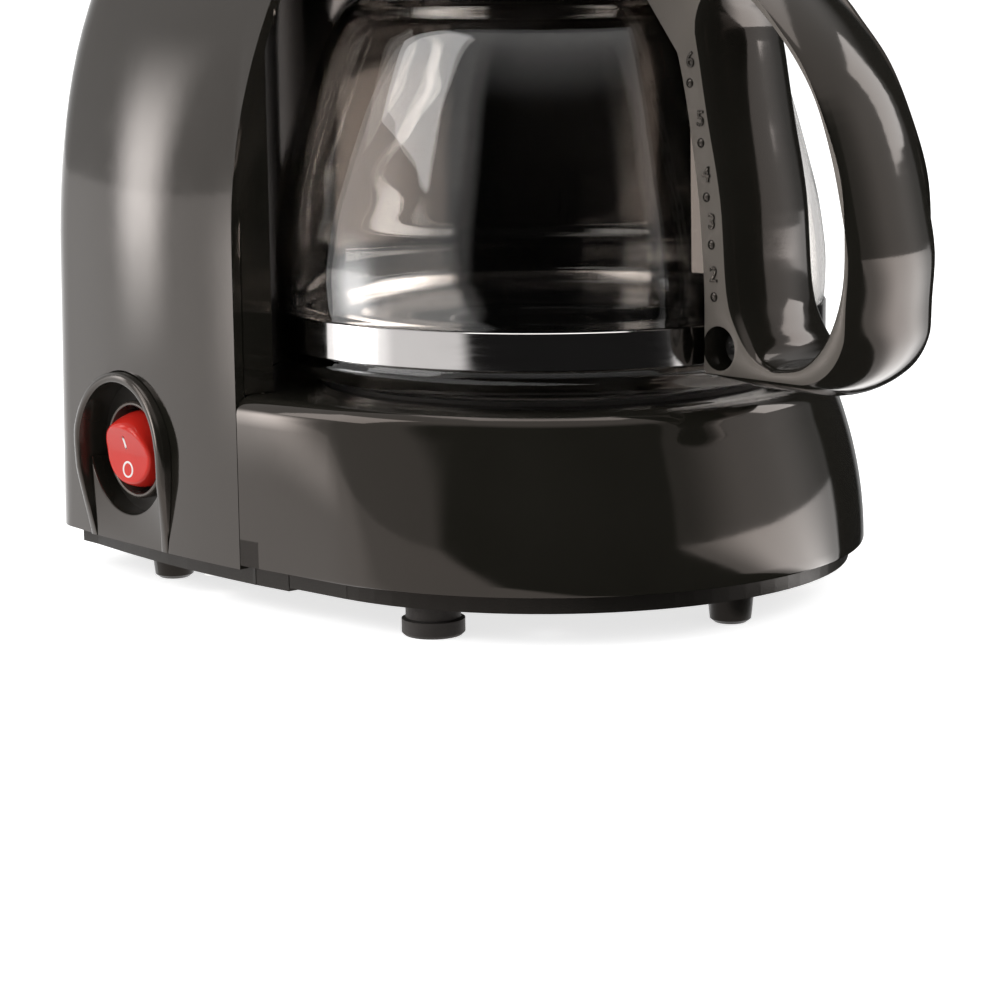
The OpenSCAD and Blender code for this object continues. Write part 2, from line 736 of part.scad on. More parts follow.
// A hose in the plane across X: down from the heater, back under the deck and up to a pipe
module hose_path(run, r, extra) {
    top = valve_low - 1;
    bottom = hose_z + hose_turn;
    translate([0, 0, bottom - eps]) cylinder(h = tube_z - tube_bend - bottom - 0.4 + extra, r = r);
    translate([0, hose_turn, bottom]) bend(r, hose_turn, 180);
    translate([0, hose_turn - eps, hose_z]) rotate([-90, 0,
        0]) cylinder(h = run - 2 * hose_turn + 2 * eps, r = r);
    translate([0, run - hose_turn, bottom]) bend(r, hose_turn, 270);
    translate([0, run, bottom - eps]) cylinder(h = top - bottom + extra, r = r);
}
// A hose between the heater's leg at a and the pipe at b
module hose(a, b) {
    run = norm(b - a);
    translate([a[0], a[1], 0]) rotate([0, 0, atan2(b[1] - a[1], b[0] - a[0]) - 90]) difference() {
        hose_path(run, hose_r, 0);
        hose_path(run, tube_r + 0.1, 1);
    }
}
module cold_hose() color("#cfc9bd") hose([-heater_r, leg_y + tube_bend], outlet);
module hot_hose() color("#cfc9bd") hose([heater_r, leg_y + tube_bend], riser);
module hose_clips() color("#9ea1a5") {
    clip = hose_r + 0.05;
    leg = leg_y + tube_bend;
    low = spigot_z + 1.4;
    high = valve_low - 4;
    for (p = [[-heater_r, leg, low], [heater_r, leg, low], [outlet[0], outlet[1], high], [riser[0],
        riser[1], high]])
        translate(p) difference() {
            cylinder(h = 1.8, r = clip + 0.9);
            translate([0, 0, -1]) cylinder(h = 4, r = clip);
        }
}

// Power switch
// Local frame on the casing's side: x is up, y is back, z is out
module on_switch(x) translate([-x, switch_y, switch_z]) rotate([0, -90, 0]) children();
module arch_outline(i) {
    foot = switch_z - casing_z;
    offset(delta = -i) polygon(concat(arc(0, 0, arch_r, -88, 88, 20), [[-foot - 1, arch_foot],
        [-foot - 1, -arch_foot]]));
}
module switch_frame() color("#232427") {
    out = side_x(switch_y);
    foot = switch_z - casing_z;
    on_switch(out) difference() {
        union() {
            translate([0, 0, -wall]) linear_extrude(wall) difference() {
                arch_outline(nest_gap);
                circle(well_r);
                translate([-foot - 5, -2 * arch_r]) square([5 + nest_gap, 4 * arch_r]);
            }
            // Raised rim, which runs out to nothing at the foot
            intersection() {
                linear_extrude(arch_t) difference() {
                    arch_outline(nest_gap);
                    arch_outline(nest_gap + 2.2);
                    translate([-foot - 5, -2 * arch_r]) square([5 + nest_gap, 4 * arch_r]);
                }
                rotate([90, 0, 0]) linear_extrude(4 * arch_r, center = true)
                    polygon([[arch_r + 1, -1], [arch_r + 1, arch_t * 0.8], [4, arch_t], [-6,
                        arch_t * 0.9], [-foot, 0.1], [-foot, -1]]);
            }
            translate([0, 0, -well_depth - wall]) cylinder(h = well_depth + wall, r = well_r + 1.2);
        }
        translate([0, 0, -well_depth]) cylinder(h = 2 * well_depth, r = well_r);
        translate([0, 0, -4 * well_depth]) cylinder(h = 5 * well_depth, r = barrel_r + 0.4);
    }
}
module switch_body() color("#8e8f92") {
    on_switch(side_x(switch_y)) translate([0, 0, -well_depth]) difference() {
        union() {
            cylinder(h = bezel_h - 0.6, r = bezel_r);
            translate([0, 0, bezel_h - 0.6 - eps]) cylinder(h = 0.6, r1 = bezel_r, r2 = bezel_r - 0.6);
            translate([0, 0, -barrel_len]) cylinder(h = barrel_len + eps, r = barrel_r);
        }
        translate([0, 0, -5]) cylinder(h = 10, r = pocket_r);
        translate([0, 0, -barrel_len + 1.6]) cylinder(h = barrel_len, r = pocket_r - 2);
        translate([0, 0, bezel_h - pivot_in]) rotate([90, 0, 0]) cylinder(h = 2 * barrel_r - 0.4,
            r = pivot_r + pin_fit, center = true);
        for (x = terminals) translate([x - 0.5, -2.6, -barrel_len - 1]) cube([1, 5.2, 4]);
    }
}
module rocker() color("#c8201c") {
    skirt = 3.2;
    on_switch(side_x(switch_y)) translate([0, 0, bezel_h - pivot_in - well_depth]) rotate([0,
        -rocker_tilt, 0]) {
        intersection() {
            translate([0, 0, -skirt]) cylinder(h = 4 * skirt, r = rocker_half_w);
            rotate([90, 0, 0]) cylinder(h = 4 * barrel_r, r = rocker_half - 0.1, center = true);
            rotate([90, 0, 0]) linear_extrude(4 * barrel_r, center = true)
                polygon([[-12, -skirt + 1.2], [-3, -skirt], [3, -skirt], [12, -skirt + 1.2], [12, 5.6],
                    [5, 4.2], [0, 3.6], [-5, 4.2], [-12, 5.6]]);
        }
        rotate([90, 0, 0]) cylinder(h = 2 * barrel_r - 0.8, r = pivot_r, center = true);
    }
}
module switch_terminals() color("#c9a24a") {
    blade = 9;
    on_switch(side_x(switch_y)) for (x = terminals)
        translate([x - 0.4, -2.4, -well_depth - barrel_len - blade]) cube([0.8, 4.8, blade + 1.2]);
}
module lead_wires() color("#7d2f2a") {
    wire_r = 1.1;
    side = [terminal_x, switch_y, switch_z];
    inlet = [inlet_x, casing_back - 12, inlet_z];
    rod_end = [rod_ring, leg_y + 7.5, rod_z];
    swept([side + [0, 0, 5], side + [14, 0, 5], [-10, 52, 24], [20, 9, 24]], wire_r, 20, 8);
    swept([side, side + [16, 2, -4], [10, 96, 16], inlet + [0, 0, 2]], wire_r, 20, 8);
    swept([side + [0, 0, -5], [-36, 60, 30], [-rod_ring, 56, rod_z], [-rod_end[0], rod_end[1],
        rod_end[2]]], wire_r, 20, 8);
    swept([inlet + [0, 0, -2], [30, 84, 20], [rod_ring, 60, rod_z], rod_end], wire_r, 20, 8);
}
module cord_inlet() color("#0f0f10") {
    back = back_at(inlet_z);
    difference() {
        union() {
            translate([inlet_x, back + flange_out, inlet_z]) rotate([90, 0,
                0]) cylinder(h = flange_out - 0.4, r = 8);
            translate([inlet_x, back + 1, inlet_z]) rotate([90, 0, 0]) cylinder(h = wall + 3,
                r = inlet_neck_r);
            translate([inlet_x, back - wall - 0.4, inlet_z]) rotate([90, 0, 0]) cylinder(h = 2, r = 7.4);
        }
        translate([inlet_x, back + 3, inlet_z]) rotate([90, 0, 0]) cylinder(h = 20, r = inlet_bore);
    }
}

// Lid
module hinge_ear(x) {
    difference() {
        union() {
            translate([x - ear_t / 2, hinge_y, hinge_z]) rotate([0, 90, 0]) cylinder(h = ear_t,
                r = knuckle_r);
            translate([x - ear_t / 2, hinge_y - knuckle_r, rim_z - 8]) cube([ear_t, 2 * knuckle_r - 0.2,
                hinge_z - rim_z + 8]);
        }
        translate([x - ear_t, hinge_y, hinge_z]) rotate([0, 90, 0]) cylinder(h = 2 * ear_t,
            r = hinge_pin_r);
    }
}
module lid_hinge_pins() color("#9fa2a6") {
    mirror_x() translate([hinge_x - ear_gap - ear_t / 2, hinge_y, hinge_z]) rotate([0, 90,
        0]) cylinder(h = 2 * ear_gap + ear_t, r = hinge_pin_r);
}
// Share of its width that the lid's dome keeps at a share t of its height
function dome(t) = sqrt(1 - pow(t, 2.2));
// Levels of the lid's dome, drawn in by i, at n steps that crowd towards the top
function lid_levels(i, n, shift) = let (tall = dome_h - i, half = half_at(rim_z) - i,
    back = back_at(rim_z) - i)
    concat(i > 0 ? [[lid_z - 1, half, back, corner_r - i]] : [],
        [for (k = [0:n]) let (share = k > 0 && k < n ? (k + shift) / n : k / n, t = min(0.998,
            1 - pow(1 - share, 2)), d = dome(t))
            [lid_z + t * tall, half * d, back * d, (corner_r - i) * d]]);
module lid_form(i) {
    round_fronted(lid_levels(i, 12, 0), lid_levels(i, 12, -0.5));
}
module top_lid() color("#17181a") {
    post_r = 3;
    difference() {
        union() {
            difference() {
                lid_form(0);
                lid_form(wall);
            }
            mirror_x() {
                translate([hinge_x - knuckle_half, hinge_y, hinge_z]) rotate([0, 90,
                    0]) cylinder(h = 2 * knuckle_half, r = knuckle_r);
                translate([hinge_x - knuckle_half, hinge_y - 6, hinge_z - 1]) cube([2 * knuckle_half, 6,
                    knuckle_r + 1]);
            }
            for (a = [30, 150, 270]) rotate(a) translate([shower_post, 0,
                shower_z + shower_t]) intersection() {
                cylinder(h = dome_h, r = post_r);
                translate([-shower_post, 0, -shower_z - shower_t]) lid_fill();
            }
        }
        mirror_x() {
            translate([hinge_x - 2 * knuckle_half, hinge_y, hinge_z]) rotate([0, 90,
                0]) cylinder(h = 4 * knuckle_half, r = hinge_pin_r + pin_fit);
            for (x = [hinge_x - ear_gap, hinge_x + ear_gap])
                translate([x - ear_t / 2 - 0.5, hinge_y - knuckle_r - 1.2, lid_z - 1]) cube([ear_t + 1,
                    12, 2 * knuckle_r + 3]);
        }
    }
}
// A plain block inside the dome, which ends the posts within the lid's skin
module lid_fill() cylinder(h = lid_z + dome_h - 2.2, r = casing_half);
module shower_plate() color("#1f2023") {
    channel_w = 16;
    channel_end = norm(riser) - spout_shift + 8;
    difference() {
        translate([0, 0, shower_z]) union() {
            cylinder(h = shower_t, r = shower_r);
            // Channel from the spout to the middle
            rotate(spout_angle) translate([shower_r - 8, -channel_w / 2,
                0]) cube([channel_end - shower_r + 8, channel_w, shower_t]);
            rotate(spout_angle) for (y = [-channel_w / 2, channel_w / 2 - shower_t])
                translate([shower_r - 3, y, 0]) cube([channel_end - shower_r + 3, shower_t, 6]);
        }
        for (ring = [8, 24], k = [0:7]) rotate(45 * k + ring) translate([ring, 0,
            shower_z - 1]) cylinder(h = 4, r = 1.5);
        translate([0, 0, shower_z - 1]) cylinder(h = 4, r = 1.5);
        spout_mouth(shower_z - 1) cylinder(h = 4, r = riser_r);
    }
}

// Filter basket and drip-stop valve--------
module filter_basket() color("#202124") {
    t = 1.6;
    low_r = body_r - 7;
    nozzle_r = 7.5;
    difference() {
        rotate_extrude() polygon([[0, basket_floor], [low_r, basket_floor], [body_r, basket_top - 2],
            [body_r, holder_top + 0.05],
            [basket_r + 0.6, holder_top + 0.05], [basket_r + 0.6, basket_top], [body_r - t, basket_top],
                [low_r - t, basket_floor + t], [0, basket_floor + t]]);
        translate([0, 0, basket_floor - 1]) cylinder(h = 6, r = nozzle_r - 1);
    }
    // Nozzle with the valve's guide
    difference() {
        translate([0, 0, nozzle_z]) cylinder(h = basket_floor - nozzle_z + 0.8, r = nozzle_r);
        translate([0, 0, nozzle_z + 1.4]) cylinder(h = 20, r = nozzle_r - 1.4);
        translate([0, 0, nozzle_z - 1]) cylinder(h = 10, r = stem_r + 0.3);
    }
    // Bridge that the valve's spring pushes against
    difference() {
        union() {
            translate([-bridge_half, -2.5, bridge_z]) cube([2 * bridge_half, 5, 1.6]);
            mirror_x() translate([bridge_half - 1.6, -2.5, basket_floor + t - 0.2]) cube([1.6, 5,
                bridge_z - basket_floor]);
        }
        translate([0, 0, bridge_z - 1]) cylinder(h = 4, r = guide_r + 0.3);
    }
    // Ribs that hold the paper off the wall
    for (k = [0:11]) rotate(30 * k) translate([10, -0.5,
        basket_floor + t - 0.2]) cube([low_r - t - 10.4, 1, 1.6]);
}
module valve_plunger() color("#b4201c") {
    head_r = 5;
    translate([0, 0, valve_tip]) cylinder(h = nozzle_z + 1.4 + 0.2 - valve_tip, r = stem_r);
    translate([0, 0, nozzle_z + 1.4 + 0.9]) cylinder(h = 1.6, r = head_r);
    translate([0, 0, nozzle_z + 1.4]) cylinder(h = bridge_z + 1 - nozzle_z - 1.4, r = guide_r);
}
module valve_seal() color("#5a5d60") {
    difference() {
        translate([0, 0, nozzle_z + 1.4 + 0.05]) cylinder(h = 0.8, r = 5.4);
        translate([0, 0, nozzle_z]) cylinder(h = 6, r = stem_r + 0.05);
    }
}
module valve_spring() color("#c9ccd0") {
    // Envelope of the return spring above the plunger's head
    difference() {
        translate([0, 0, nozzle_z + 1.4 + 2.55]) cylinder(h = bridge_z - nozzle_z - 1.4 - 2.6, r = 3.6);
        translate([0, 0, nozzle_z]) cylinder(h = 20, r = 2.6);
    }
}

// Outer outline of the glass, from the base up: [radius, height above the base]
glass_points = [[base_r, 0], [glass_r - 4, 1.2], [glass_r - 0.9, 3.2], [glass_r + 0.4, 5.4],
    [glass_r - 0.6, band_low],
    [glass_r - 0.6, band_low + band_h], [glass_r - 0.2, 17], [glass_r, 24.5], [glass_r - 0.5, 30.5],
        [glass_r - 1.9, 39.5],
    [glass_r - 4.2, 48.6], [glass_r - 6.7, 57.7], [glass_r - 9.6, 67], [glass_r - 13.2, 76.4],
        [glass_r - 15.7, 81],
    [glass_r - 17.8, 83.6], [glass_r - 20.6, glass_h], [neck_r + 1, glass_h + 0.8], [neck_r,
        glass_h + 1.5], [neck_r, glass_h + neck_h]];
module glass_solid() {
    half = concat([[0, 0]], glass_points, [[0, glass_h + neck_h]]);
    polygon(concat(half, mirrored(half)));
}
module carafe_glass() color("#dfe6ea", 0.35) {
    tall = glass_h + neck_h;
    translate([0, 0, carafe_z]) rotate_extrude() intersection() {
        difference() {
            glass_solid();
            offset(delta = -glass_t) glass_solid();
            translate([-neck_r + glass_t, tall - 2 * glass_t]) square([2 * neck_r - 2 * glass_t,
                4 * glass_t]);
        }
        square([2 * glass_r, tall]);
    }
}
module carafe_band() color("#d6d8da") {
    height = band_h - nest_gap;
    difference() {
        union() {
            difference() {
                translate([0, 0, band_z]) cylinder(h = height, r = band_r + band_t);
                translate([0, 0, band_z - 1]) cylinder(h = height + 2, r = band_r);
                translate([-tab_half, -2 * band_r, band_z - 1]) cube([2 * tab_half, 2 * band_r,
                    height + 2]);
            }
            mirror_x() translate([tab_half, tab_y - 4, band_z]) cube([band_t,
                -tab_y + 4 - band_r - band_t / 3, height]);
        }
        translate([0, tab_y, screw_z]) rotate([0, 90, 0]) cylinder(h = 20, r = band_screw_r + 0.2,
            center = true);
    }
}
module band_screw() color("#cfd1d4") {
    head = 2.4;
    head_x = -5.4;
    translate([head_x, tab_y, screw_z]) rotate([0, 90, 0]) {
        difference() {
            translate([0, 0, -head]) cylinder(h = head, r = 3.3);
            for (a = [0, 90]) rotate(a) translate([-2, -0.35, -head - 1]) cube([4, 0.7, 2.2]);
        }
        translate([0, 0, -eps]) cylinder(h = 16, r = band_screw_r);
    }
}
module band_nut() color("#b8babd") {
    translate([nut_x, tab_y, screw_z]) rotate([0, 90, 0]) difference() {
        cylinder(h = 2.6, r = 3.4, $fn = 6);
        translate([0, 0, -1]) cylinder(h = 6, r = band_screw_r + 0.05);
    }
}
// Handle outline in the plane of the carafe axis: [distance in front, height above the carafe's base]
module handle_outer() {
    top_curve = smooth([[-56, handle_top - 0.5], [-66, handle_top - 1.5], [-76, handle_top - 6], [-84.5,
        handle_top - 12.5],
        [-92, handle_top - 20], [-98, 65], [-102.5, 54], [-105.5, 43], [-reach, 33], [-reach + 0.6,
            23]], 3);
    polygon(concat(smooth([for (p = leg_inside) [-p[0], p[1]]], 2), [[-collar_out, glass_h + 2.6],
        [-collar_out, handle_top]],
        top_curve, arc(-reach + 14.6, 19.6, 14, 190, 270, 6)));
}
module handle_hole() {
    polygon(smooth([[-86, 8.3], [-80, 10.6], [-75, 16.4], [-64.7 - inner_leg_t, 24],
        [-62.9 - inner_leg_t, 43], [-60.5 - inner_leg_t * 0.8, 60],
        [-64, 72], [-62.6, 80], [-66, 86.5], [-73, 88.6], [-80, 86.2], [-reach + 22, 80.6],
            [-reach + 14.1, 72.6], [-reach + 8, 62],
        [-reach + 3.2, 49], [-reach + 2, 37], [-reach + 2.6, 26], [-reach + 6.3, 16.4], [-reach + 13,
            10], [-86, 8.3]], 3));
}
module carafe_handle() color("#121214") {
    layers = 3;
    difference() {
        translate([0, 0, carafe_z]) union() {
            // Layers that swell the legs towards the middle of their width
            for (k = [0:layers - 1]) let (x = 1 - k / layers) along_x(handle_w * x) difference() {
                offset(r = handle_crown * (1 - x * x)) handle_outer();
                offset(delta = -handle_crown * (1 - x * x)) handle_hole();
            }
        }
        // Clear of the glass, the band and the collar
        translate([0, 0, carafe_z]) rotate_extrude() difference() {
            offset(delta = 0.9) glass_solid();
            translate([-4 * glass_r, -1]) square([4 * glass_r, 4 * glass_r]);
        }
        translate([0, 0, collar_z - 1.4]) cylinder(h = 40, r = collar_out);
        // Slot for the band's tabs, the screw's well and the nut's pocket
        translate([-tab_half - band_t - 0.2, tab_y - 4.4,
            band_z - 0.4]) cube([2 * (tab_half + band_t + 0.2), 20, band_h + 0.6]);
        translate([-handle_w, tab_y, screw_z]) rotate([0, 90, 0]) cylinder(h = handle_w - 5.3,
            r = screw_well_r);
        translate([-handle_w / 2, tab_y, screw_z]) rotate([0, 90, 0]) cylinder(h = handle_w - 2,
            r = band_screw_r + 0.3);
        translate([nut_x - 0.1, tab_y, screw_z]) rotate([0, 90, 0]) cylinder(h = handle_w, r = 3.6,
            $fn = 6);
    }
}
module carafe_collar() color("#121214") {
    inner = neck_r + nest_gap;
    difference() {
        union() {
            translate([0, 0, collar_z]) cylinder(h = collar_h, r = inner + collar_t);
        }
        translate([0, 0, collar_z - 1]) cylinder(h = collar_h + 2, r = inner);
        // Two entries for the lid's lugs
        for (a = [0, 180]) rotate(a) translate([neck_r - 1, -5, collar_z + collar_h - 4]) cube([3, 10, 5]);
    }
}
module carafe_lid() color("#121214") {
    low = collar_z + collar_h + nest_gap;
    plug_r = neck_r - glass_t - 0.6;
    difference() {
        union() {
            translate([0, 0, low]) rotate_extrude() polygon([[0, 0], [neck_r + collar_t, 0],
                [neck_r + collar_t, 2.2],
                [neck_r + collar_t - 1.6, carafe_lid_h - 2.2], [neck_r - 6, carafe_lid_h - 0.6], [8,
                    carafe_lid_h - 0.6], [6, carafe_lid_h], [0, carafe_lid_h]]);
            translate([0, 0, low - 6]) cylinder(h = 6 + eps, r = plug_r);
            translate([0, -neck_r - collar_t - 4, low]) linear_extrude(2.6) offset(r = 2) square([14,
                10], center = true);
        }
        translate([0, 0, low - 7]) cylinder(h = 7 + 1.8, r = plug_r - 1.8);
        for (k = [0:5]) rotate(60 * k + 30) translate([4.2, 0, low - 1]) cylinder(h = 10, r = 1.2);
    }
}

// Moves a piece from the carafe axis to its place over the footprint
module placed() translate([0, axis_y, 0]) children();

placed() drum_housing();
placed() outer_casing();
placed() bay_wall();
placed() brew_housing();
placed() front_base_plate();
placed() rear_base_plate();
placed() rubber_feet();
placed() base_screws();
placed() warming_plate();
placed() plate_seal();
placed() water_heater_tube();
placed() heating_rod();
placed() heater_clamp();
placed() clamp_screw();
placed() thermostat();
placed() thermal_fuses();
placed() water_tank();
placed() cold_hose();
placed() hot_hose();
placed() hose_clips();
placed() check_valve();
placed() check_ball();
placed() riser_tube();
placed() water_spout();
placed() switch_frame();
placed() switch_body();
placed() rocker();
placed() switch_terminals();
placed() lead_wires();
placed() cord_inlet();
placed() top_lid();
placed() lid_hinge_pins();
placed() shower_plate();
placed() filter_basket();
placed() valve_plunger();
placed() valve_seal();
placed() valve_spring();
placed() carafe_glass();
placed() carafe_band();
placed() carafe_handle();
placed() band_screw();
placed() band_nut();
placed() carafe_collar();
placed() carafe_lid();
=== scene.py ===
from math import sin, cos, asin, acos, atan, atan2, radians, sqrt, pi, hypot, exp
import bmesh
import bpy
from mathutils import Vector, Matrix, geometry


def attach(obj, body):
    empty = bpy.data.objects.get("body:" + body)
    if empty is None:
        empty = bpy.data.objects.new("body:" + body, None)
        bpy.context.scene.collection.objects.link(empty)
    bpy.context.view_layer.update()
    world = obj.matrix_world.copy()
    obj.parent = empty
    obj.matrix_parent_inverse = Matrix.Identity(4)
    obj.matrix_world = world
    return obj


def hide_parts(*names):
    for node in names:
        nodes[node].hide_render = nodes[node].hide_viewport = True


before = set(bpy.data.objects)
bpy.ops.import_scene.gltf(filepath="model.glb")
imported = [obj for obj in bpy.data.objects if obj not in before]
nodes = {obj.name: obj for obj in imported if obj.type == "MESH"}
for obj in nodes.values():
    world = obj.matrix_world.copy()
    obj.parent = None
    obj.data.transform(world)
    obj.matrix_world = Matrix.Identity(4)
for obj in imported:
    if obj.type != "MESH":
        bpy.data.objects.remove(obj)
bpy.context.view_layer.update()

unit = 0.001   # all sizes below are in millimetres
axisY = 4.0    # the carafe's axis stands this far behind the middle of the footprint
scene = bpy.context.scene


class Wire:   # a shader socket that can be added, subtracted and multiplied
    def __init__(self, finish, socket):
        self.finish = finish
        self.socket = socket

    def join(self, operation, first, second):
        return self.finish.node("ShaderNodeMath", {"operation": operation}, {0: first, 1: second})

    def __add__(self, other):
        return self.join("ADD", self, other)

    def __radd__(self, other):
        return self.join("ADD", other, self)

    def __sub__(self, other):
        return self.join("SUBTRACT", self, other)

    def __rsub__(self, other):
        return self.join("SUBTRACT", other, self)

    def __mul__(self, other):
        return self.join("MULTIPLY", self, other)

    def __rmul__(self, other):
        return self.join("MULTIPLY", other, self)

    def output(self, index):   # another output of the same node
        return Wire(self.finish, self.socket.node.outputs[index])


class Finish:   # the nodes of one material or of the world
    def __init__(self, owner, output="ShaderNodeOutputMaterial"):
        owner.use_nodes = True
        self.owner = owner
        self.tree = owner.node_tree
        self.tree.nodes.clear()
        self.end = self.tree.nodes.new(output)

    def node(self, kind, settings=None, values=None, output=0):
        made = self.tree.nodes.new(kind)
        for key, value in (settings or {}).items():
            setattr(made, key, value)
        for key, value in (values or {}).items():
            if isinstance(value, Wire):
                self.tree.links.new(value.socket, made.inputs[key])
            else:
                made.inputs[key].default_value = value
        return Wire(self, made.outputs[output])

    def finishWith(self, wire):
        self.tree.links.new(wire.socket, self.end.inputs["Surface"])
        return self.owner

    def noise(self, scale, detail, stretch=(1, 1, 1), rough=0.5):
        spot = self.node("ShaderNodeNewGeometry", output="Position")
        scaled = self.node("ShaderNodeVectorMath", {"operation": "MULTIPLY"},
                           {0: spot, 1: [scale * s for s in stretch]})
        return self.node("ShaderNodeTexNoise", values={"Vector": scaled, "Scale": 1.0, "Detail": detail,
                                                       "Roughness": rough})

    def between(self, wire, low, high):   # spreads the middle of a noise over low to high
        return self.node("ShaderNodeMapRange", values={"Value": wire, "From Min": 0.3, "From Max": 0.7,
                                                       "To Min": low, "To Max": high})

    def mottled(self, size, colour, second):   # two close colours in soft clouds
        colours = {0: self.between(self.noise(size, 2.0), 0.0, 1.0), 6: (*colour, 1), 7: (*second, 1)}
        return self.node("ShaderNodeMix", {"data_type": "RGBA"}, colours, 2)

    def bump(self, height, strength, depth):
        relief = {"Height": height, "Strength": strength, "Distance": depth * unit}
        return self.node("ShaderNodeBump", values=relief, output="Normal")


finishes = {}
warmTint = (1, 0.86, 0.78, 1)   # of the plastic's reflections


def mouldedPlastic(name, colour, second, rough, grain, level=0.5):
    make = Finish(bpy.data.materials.new(name))
    roughness, spread = rough
    share, fineness, depth = grain
    relief = make.noise(fineness, 4.0) * share + make.noise(150.0, 1.0) * (1 - share)
    finishes[name] = make.finishWith(make.node("ShaderNodeBsdfPrincipled", values={
        "Base Color": make.mottled(45.0, colour, second),
        "Roughness": make.between(make.noise(130.0, 3.0), roughness - spread, roughness + spread),
        "Normal": make.bump(relief, 1.0, depth), "IOR": 1.5,
        "Specular IOR Level": level, "Specular Tint": warmTint}))


def brushedMetal(name, colour, second, roughness, stretch, depth):
    make = Finish(bpy.data.materials.new(name))
    lines = make.noise(1.0, 3.0, stretch, 0.6)
    finishes[name] = make.finishWith(make.node("ShaderNodeBsdfPrincipled", values={
        "Base Color": make.mottled(60.0, colour, second), "Metallic": 1.0,
        "Roughness": make.between(lines, roughness * 0.7, roughness * 1.4),
        "Normal": make.bump(lines, 0.4, depth)}))


def clearGlass(name, colour, roughness, ior):
    make = Finish(bpy.data.materials.new(name))
    ripple = make.noise(28.0, 2.0, (1, 1, 0.35))
    finishes[name] = make.finishWith(make.node("ShaderNodeBsdfPrincipled", values={
        "Base Color": make.mottled(20.0, colour, [c * 0.985 for c in colour]),
        "Roughness": roughness, "Transmission Weight": 1.0, "IOR": ior,
        "Normal": make.bump(ripple, 0.25, 0.4)}))


plastics = {   # two colours, roughness and its spread, grain's share, fineness and depth, specular level
    "glossBlack": ((0.0105, 0.0098, 0.0076), (0.0125, 0.0117, 0.0092), (0.075, 0.02), (0.15, 1600, 0.012)),
    "handleBlack": ((0.0108, 0.01, 0.0079), (0.013, 0.012, 0.0096), (0.1, 0.03), (0.2, 1800, 0.015)),
    # the handle's flat sides: a lighter grey that paints on their reflection of the pale surroundings
    "handleSidePaintedSheen": ((0.075, 0.067, 0.058), (0.092, 0.083, 0.072), (0.38, 0.06), (0.5, 2400, 0.03)),
    "satinBlack": ((0.0085, 0.008, 0.007), (0.011, 0.0105, 0.009), (0.36, 0.06), (0.85, 2600, 0.05), 0.2),
    "rubberBlack": ((0.014, 0.014, 0.014), (0.02, 0.02, 0.02), (0.7, 0.08), (0.8, 2200, 0.08)),
    "frameGloss": ((0.013, 0.012, 0.0095), (0.016, 0.0148, 0.012), (0.14, 0.03), (0.2, 1800, 0.015)),
    "bezelGrey": ((0.05, 0.042, 0.036), (0.07, 0.06, 0.052), (0.24, 0.05), (0.6, 2400, 0.03)),
    "markWhite": ((0.86, 0.84, 0.82), (0.9, 0.88, 0.86), (0.3, 0.05), (0.5, 2400, 0.02)),
    "rockerRed": ((0.6, 0.018, 0.012), (0.72, 0.034, 0.022), (0.16, 0.03), (0.2, 1500, 0.02), 0.2),
    "wireRed": ((0.3, 0.02, 0.015), (0.36, 0.03, 0.02), (0.45, 0.06), (0.6, 2000, 0.04)),
    "plateCoat": ((0.022, 0.022, 0.023), (0.032, 0.032, 0.033), (0.34, 0.08), (0.9, 3200, 0.08)),
    "silicone": ((0.62, 0.6, 0.56), (0.7, 0.68, 0.64), (0.5, 0.06), (0.5, 1800, 0.04)),
    "valveWhite": ((0.74, 0.73, 0.7), (0.8, 0.79, 0.76), (0.4, 0.05), (0.6, 2200, 0.04)),
    "ceramicWhite": ((0.78, 0.76, 0.7), (0.84, 0.82, 0.77), (0.6, 0.06), (0.9, 2400, 0.08)),
    "ballRed": ((0.5, 0.03, 0.02), (0.56, 0.04, 0.03), (0.35, 0.05), (0.5, 2200, 0.03)),
}
metals = {   # two colours, roughness, how the brushing is stretched, and its depth
    "bandSteel": ((0.5, 0.48, 0.47), (0.46, 0.44, 0.43), 0.09, (40, 40, 900), 0.01),
    "screwSteel": ((0.66, 0.65, 0.63), (0.56, 0.55, 0.54), 0.2, (500, 500, 500), 0.02),
    "castAlloy": ((0.62, 0.61, 0.6), (0.5, 0.5, 0.49), 0.45, (900, 900, 900), 0.12),
    "rodSteel": ((0.42, 0.42, 0.43), (0.3, 0.3, 0.31), 0.4, (700, 700, 700), 0.06),
    "fuseGold": ((0.72, 0.54, 0.26), (0.62, 0.45, 0.2), 0.3, (500, 500, 500), 0.03),
}
for name, values in plastics.items():
    mouldedPlastic(name, *values)
for name, values in metals.items():
    brushedMetal(name, *values)
clearGlass("carafeGlass", (0.99, 0.965, 0.94), 0.0, 1.47)
clearGlass("tankClear", (0.86, 0.88, 0.88), 0.28, 1.49)

solidFinish = {   # which of the frame's solids wear which finish
    "glossBlack": ["outer_casing", "drum_housing", "bay_wall", "brew_housing", "top_lid"],
    "handleBlack": ["carafe_handle", "carafe_collar", "carafe_lid"],
    "satinBlack": ["front_base_plate", "rear_base_plate", "shower_plate", "filter_basket"],
    "rubberBlack": ["rubber_feet", "plate_seal", "cord_inlet"],
    "frameGloss": ["switch_frame"],
    "bezelGrey": ["switch_body"],
    "rockerRed": ["rocker"],
    "wireRed": ["lead_wires"],
    "plateCoat": ["warming_plate"],
    "silicone": ["cold_hose", "hot_hose", "riser_tube", "valve_seal"],
    "valveWhite": ["check_valve", "water_spout", "valve_plunger"],
    "ceramicWhite": ["thermostat"],
    "ballRed": ["check_ball"],
    "bandSteel": ["carafe_band"],
    "screwSteel": ["base_screws", "clamp_screw", "hose_clips", "lid_hinge_pins", "valve_spring", "band_screw",
                   "band_nut"],
    "castAlloy": ["water_heater_tube", "heater_clamp"],
    "rodSteel": ["heating_rod"],
    "fuseGold": ["thermal_fuses", "switch_terminals"],
    "carafeGlass": ["carafe_glass"],
    "tankClear": ["water_tank"],
}
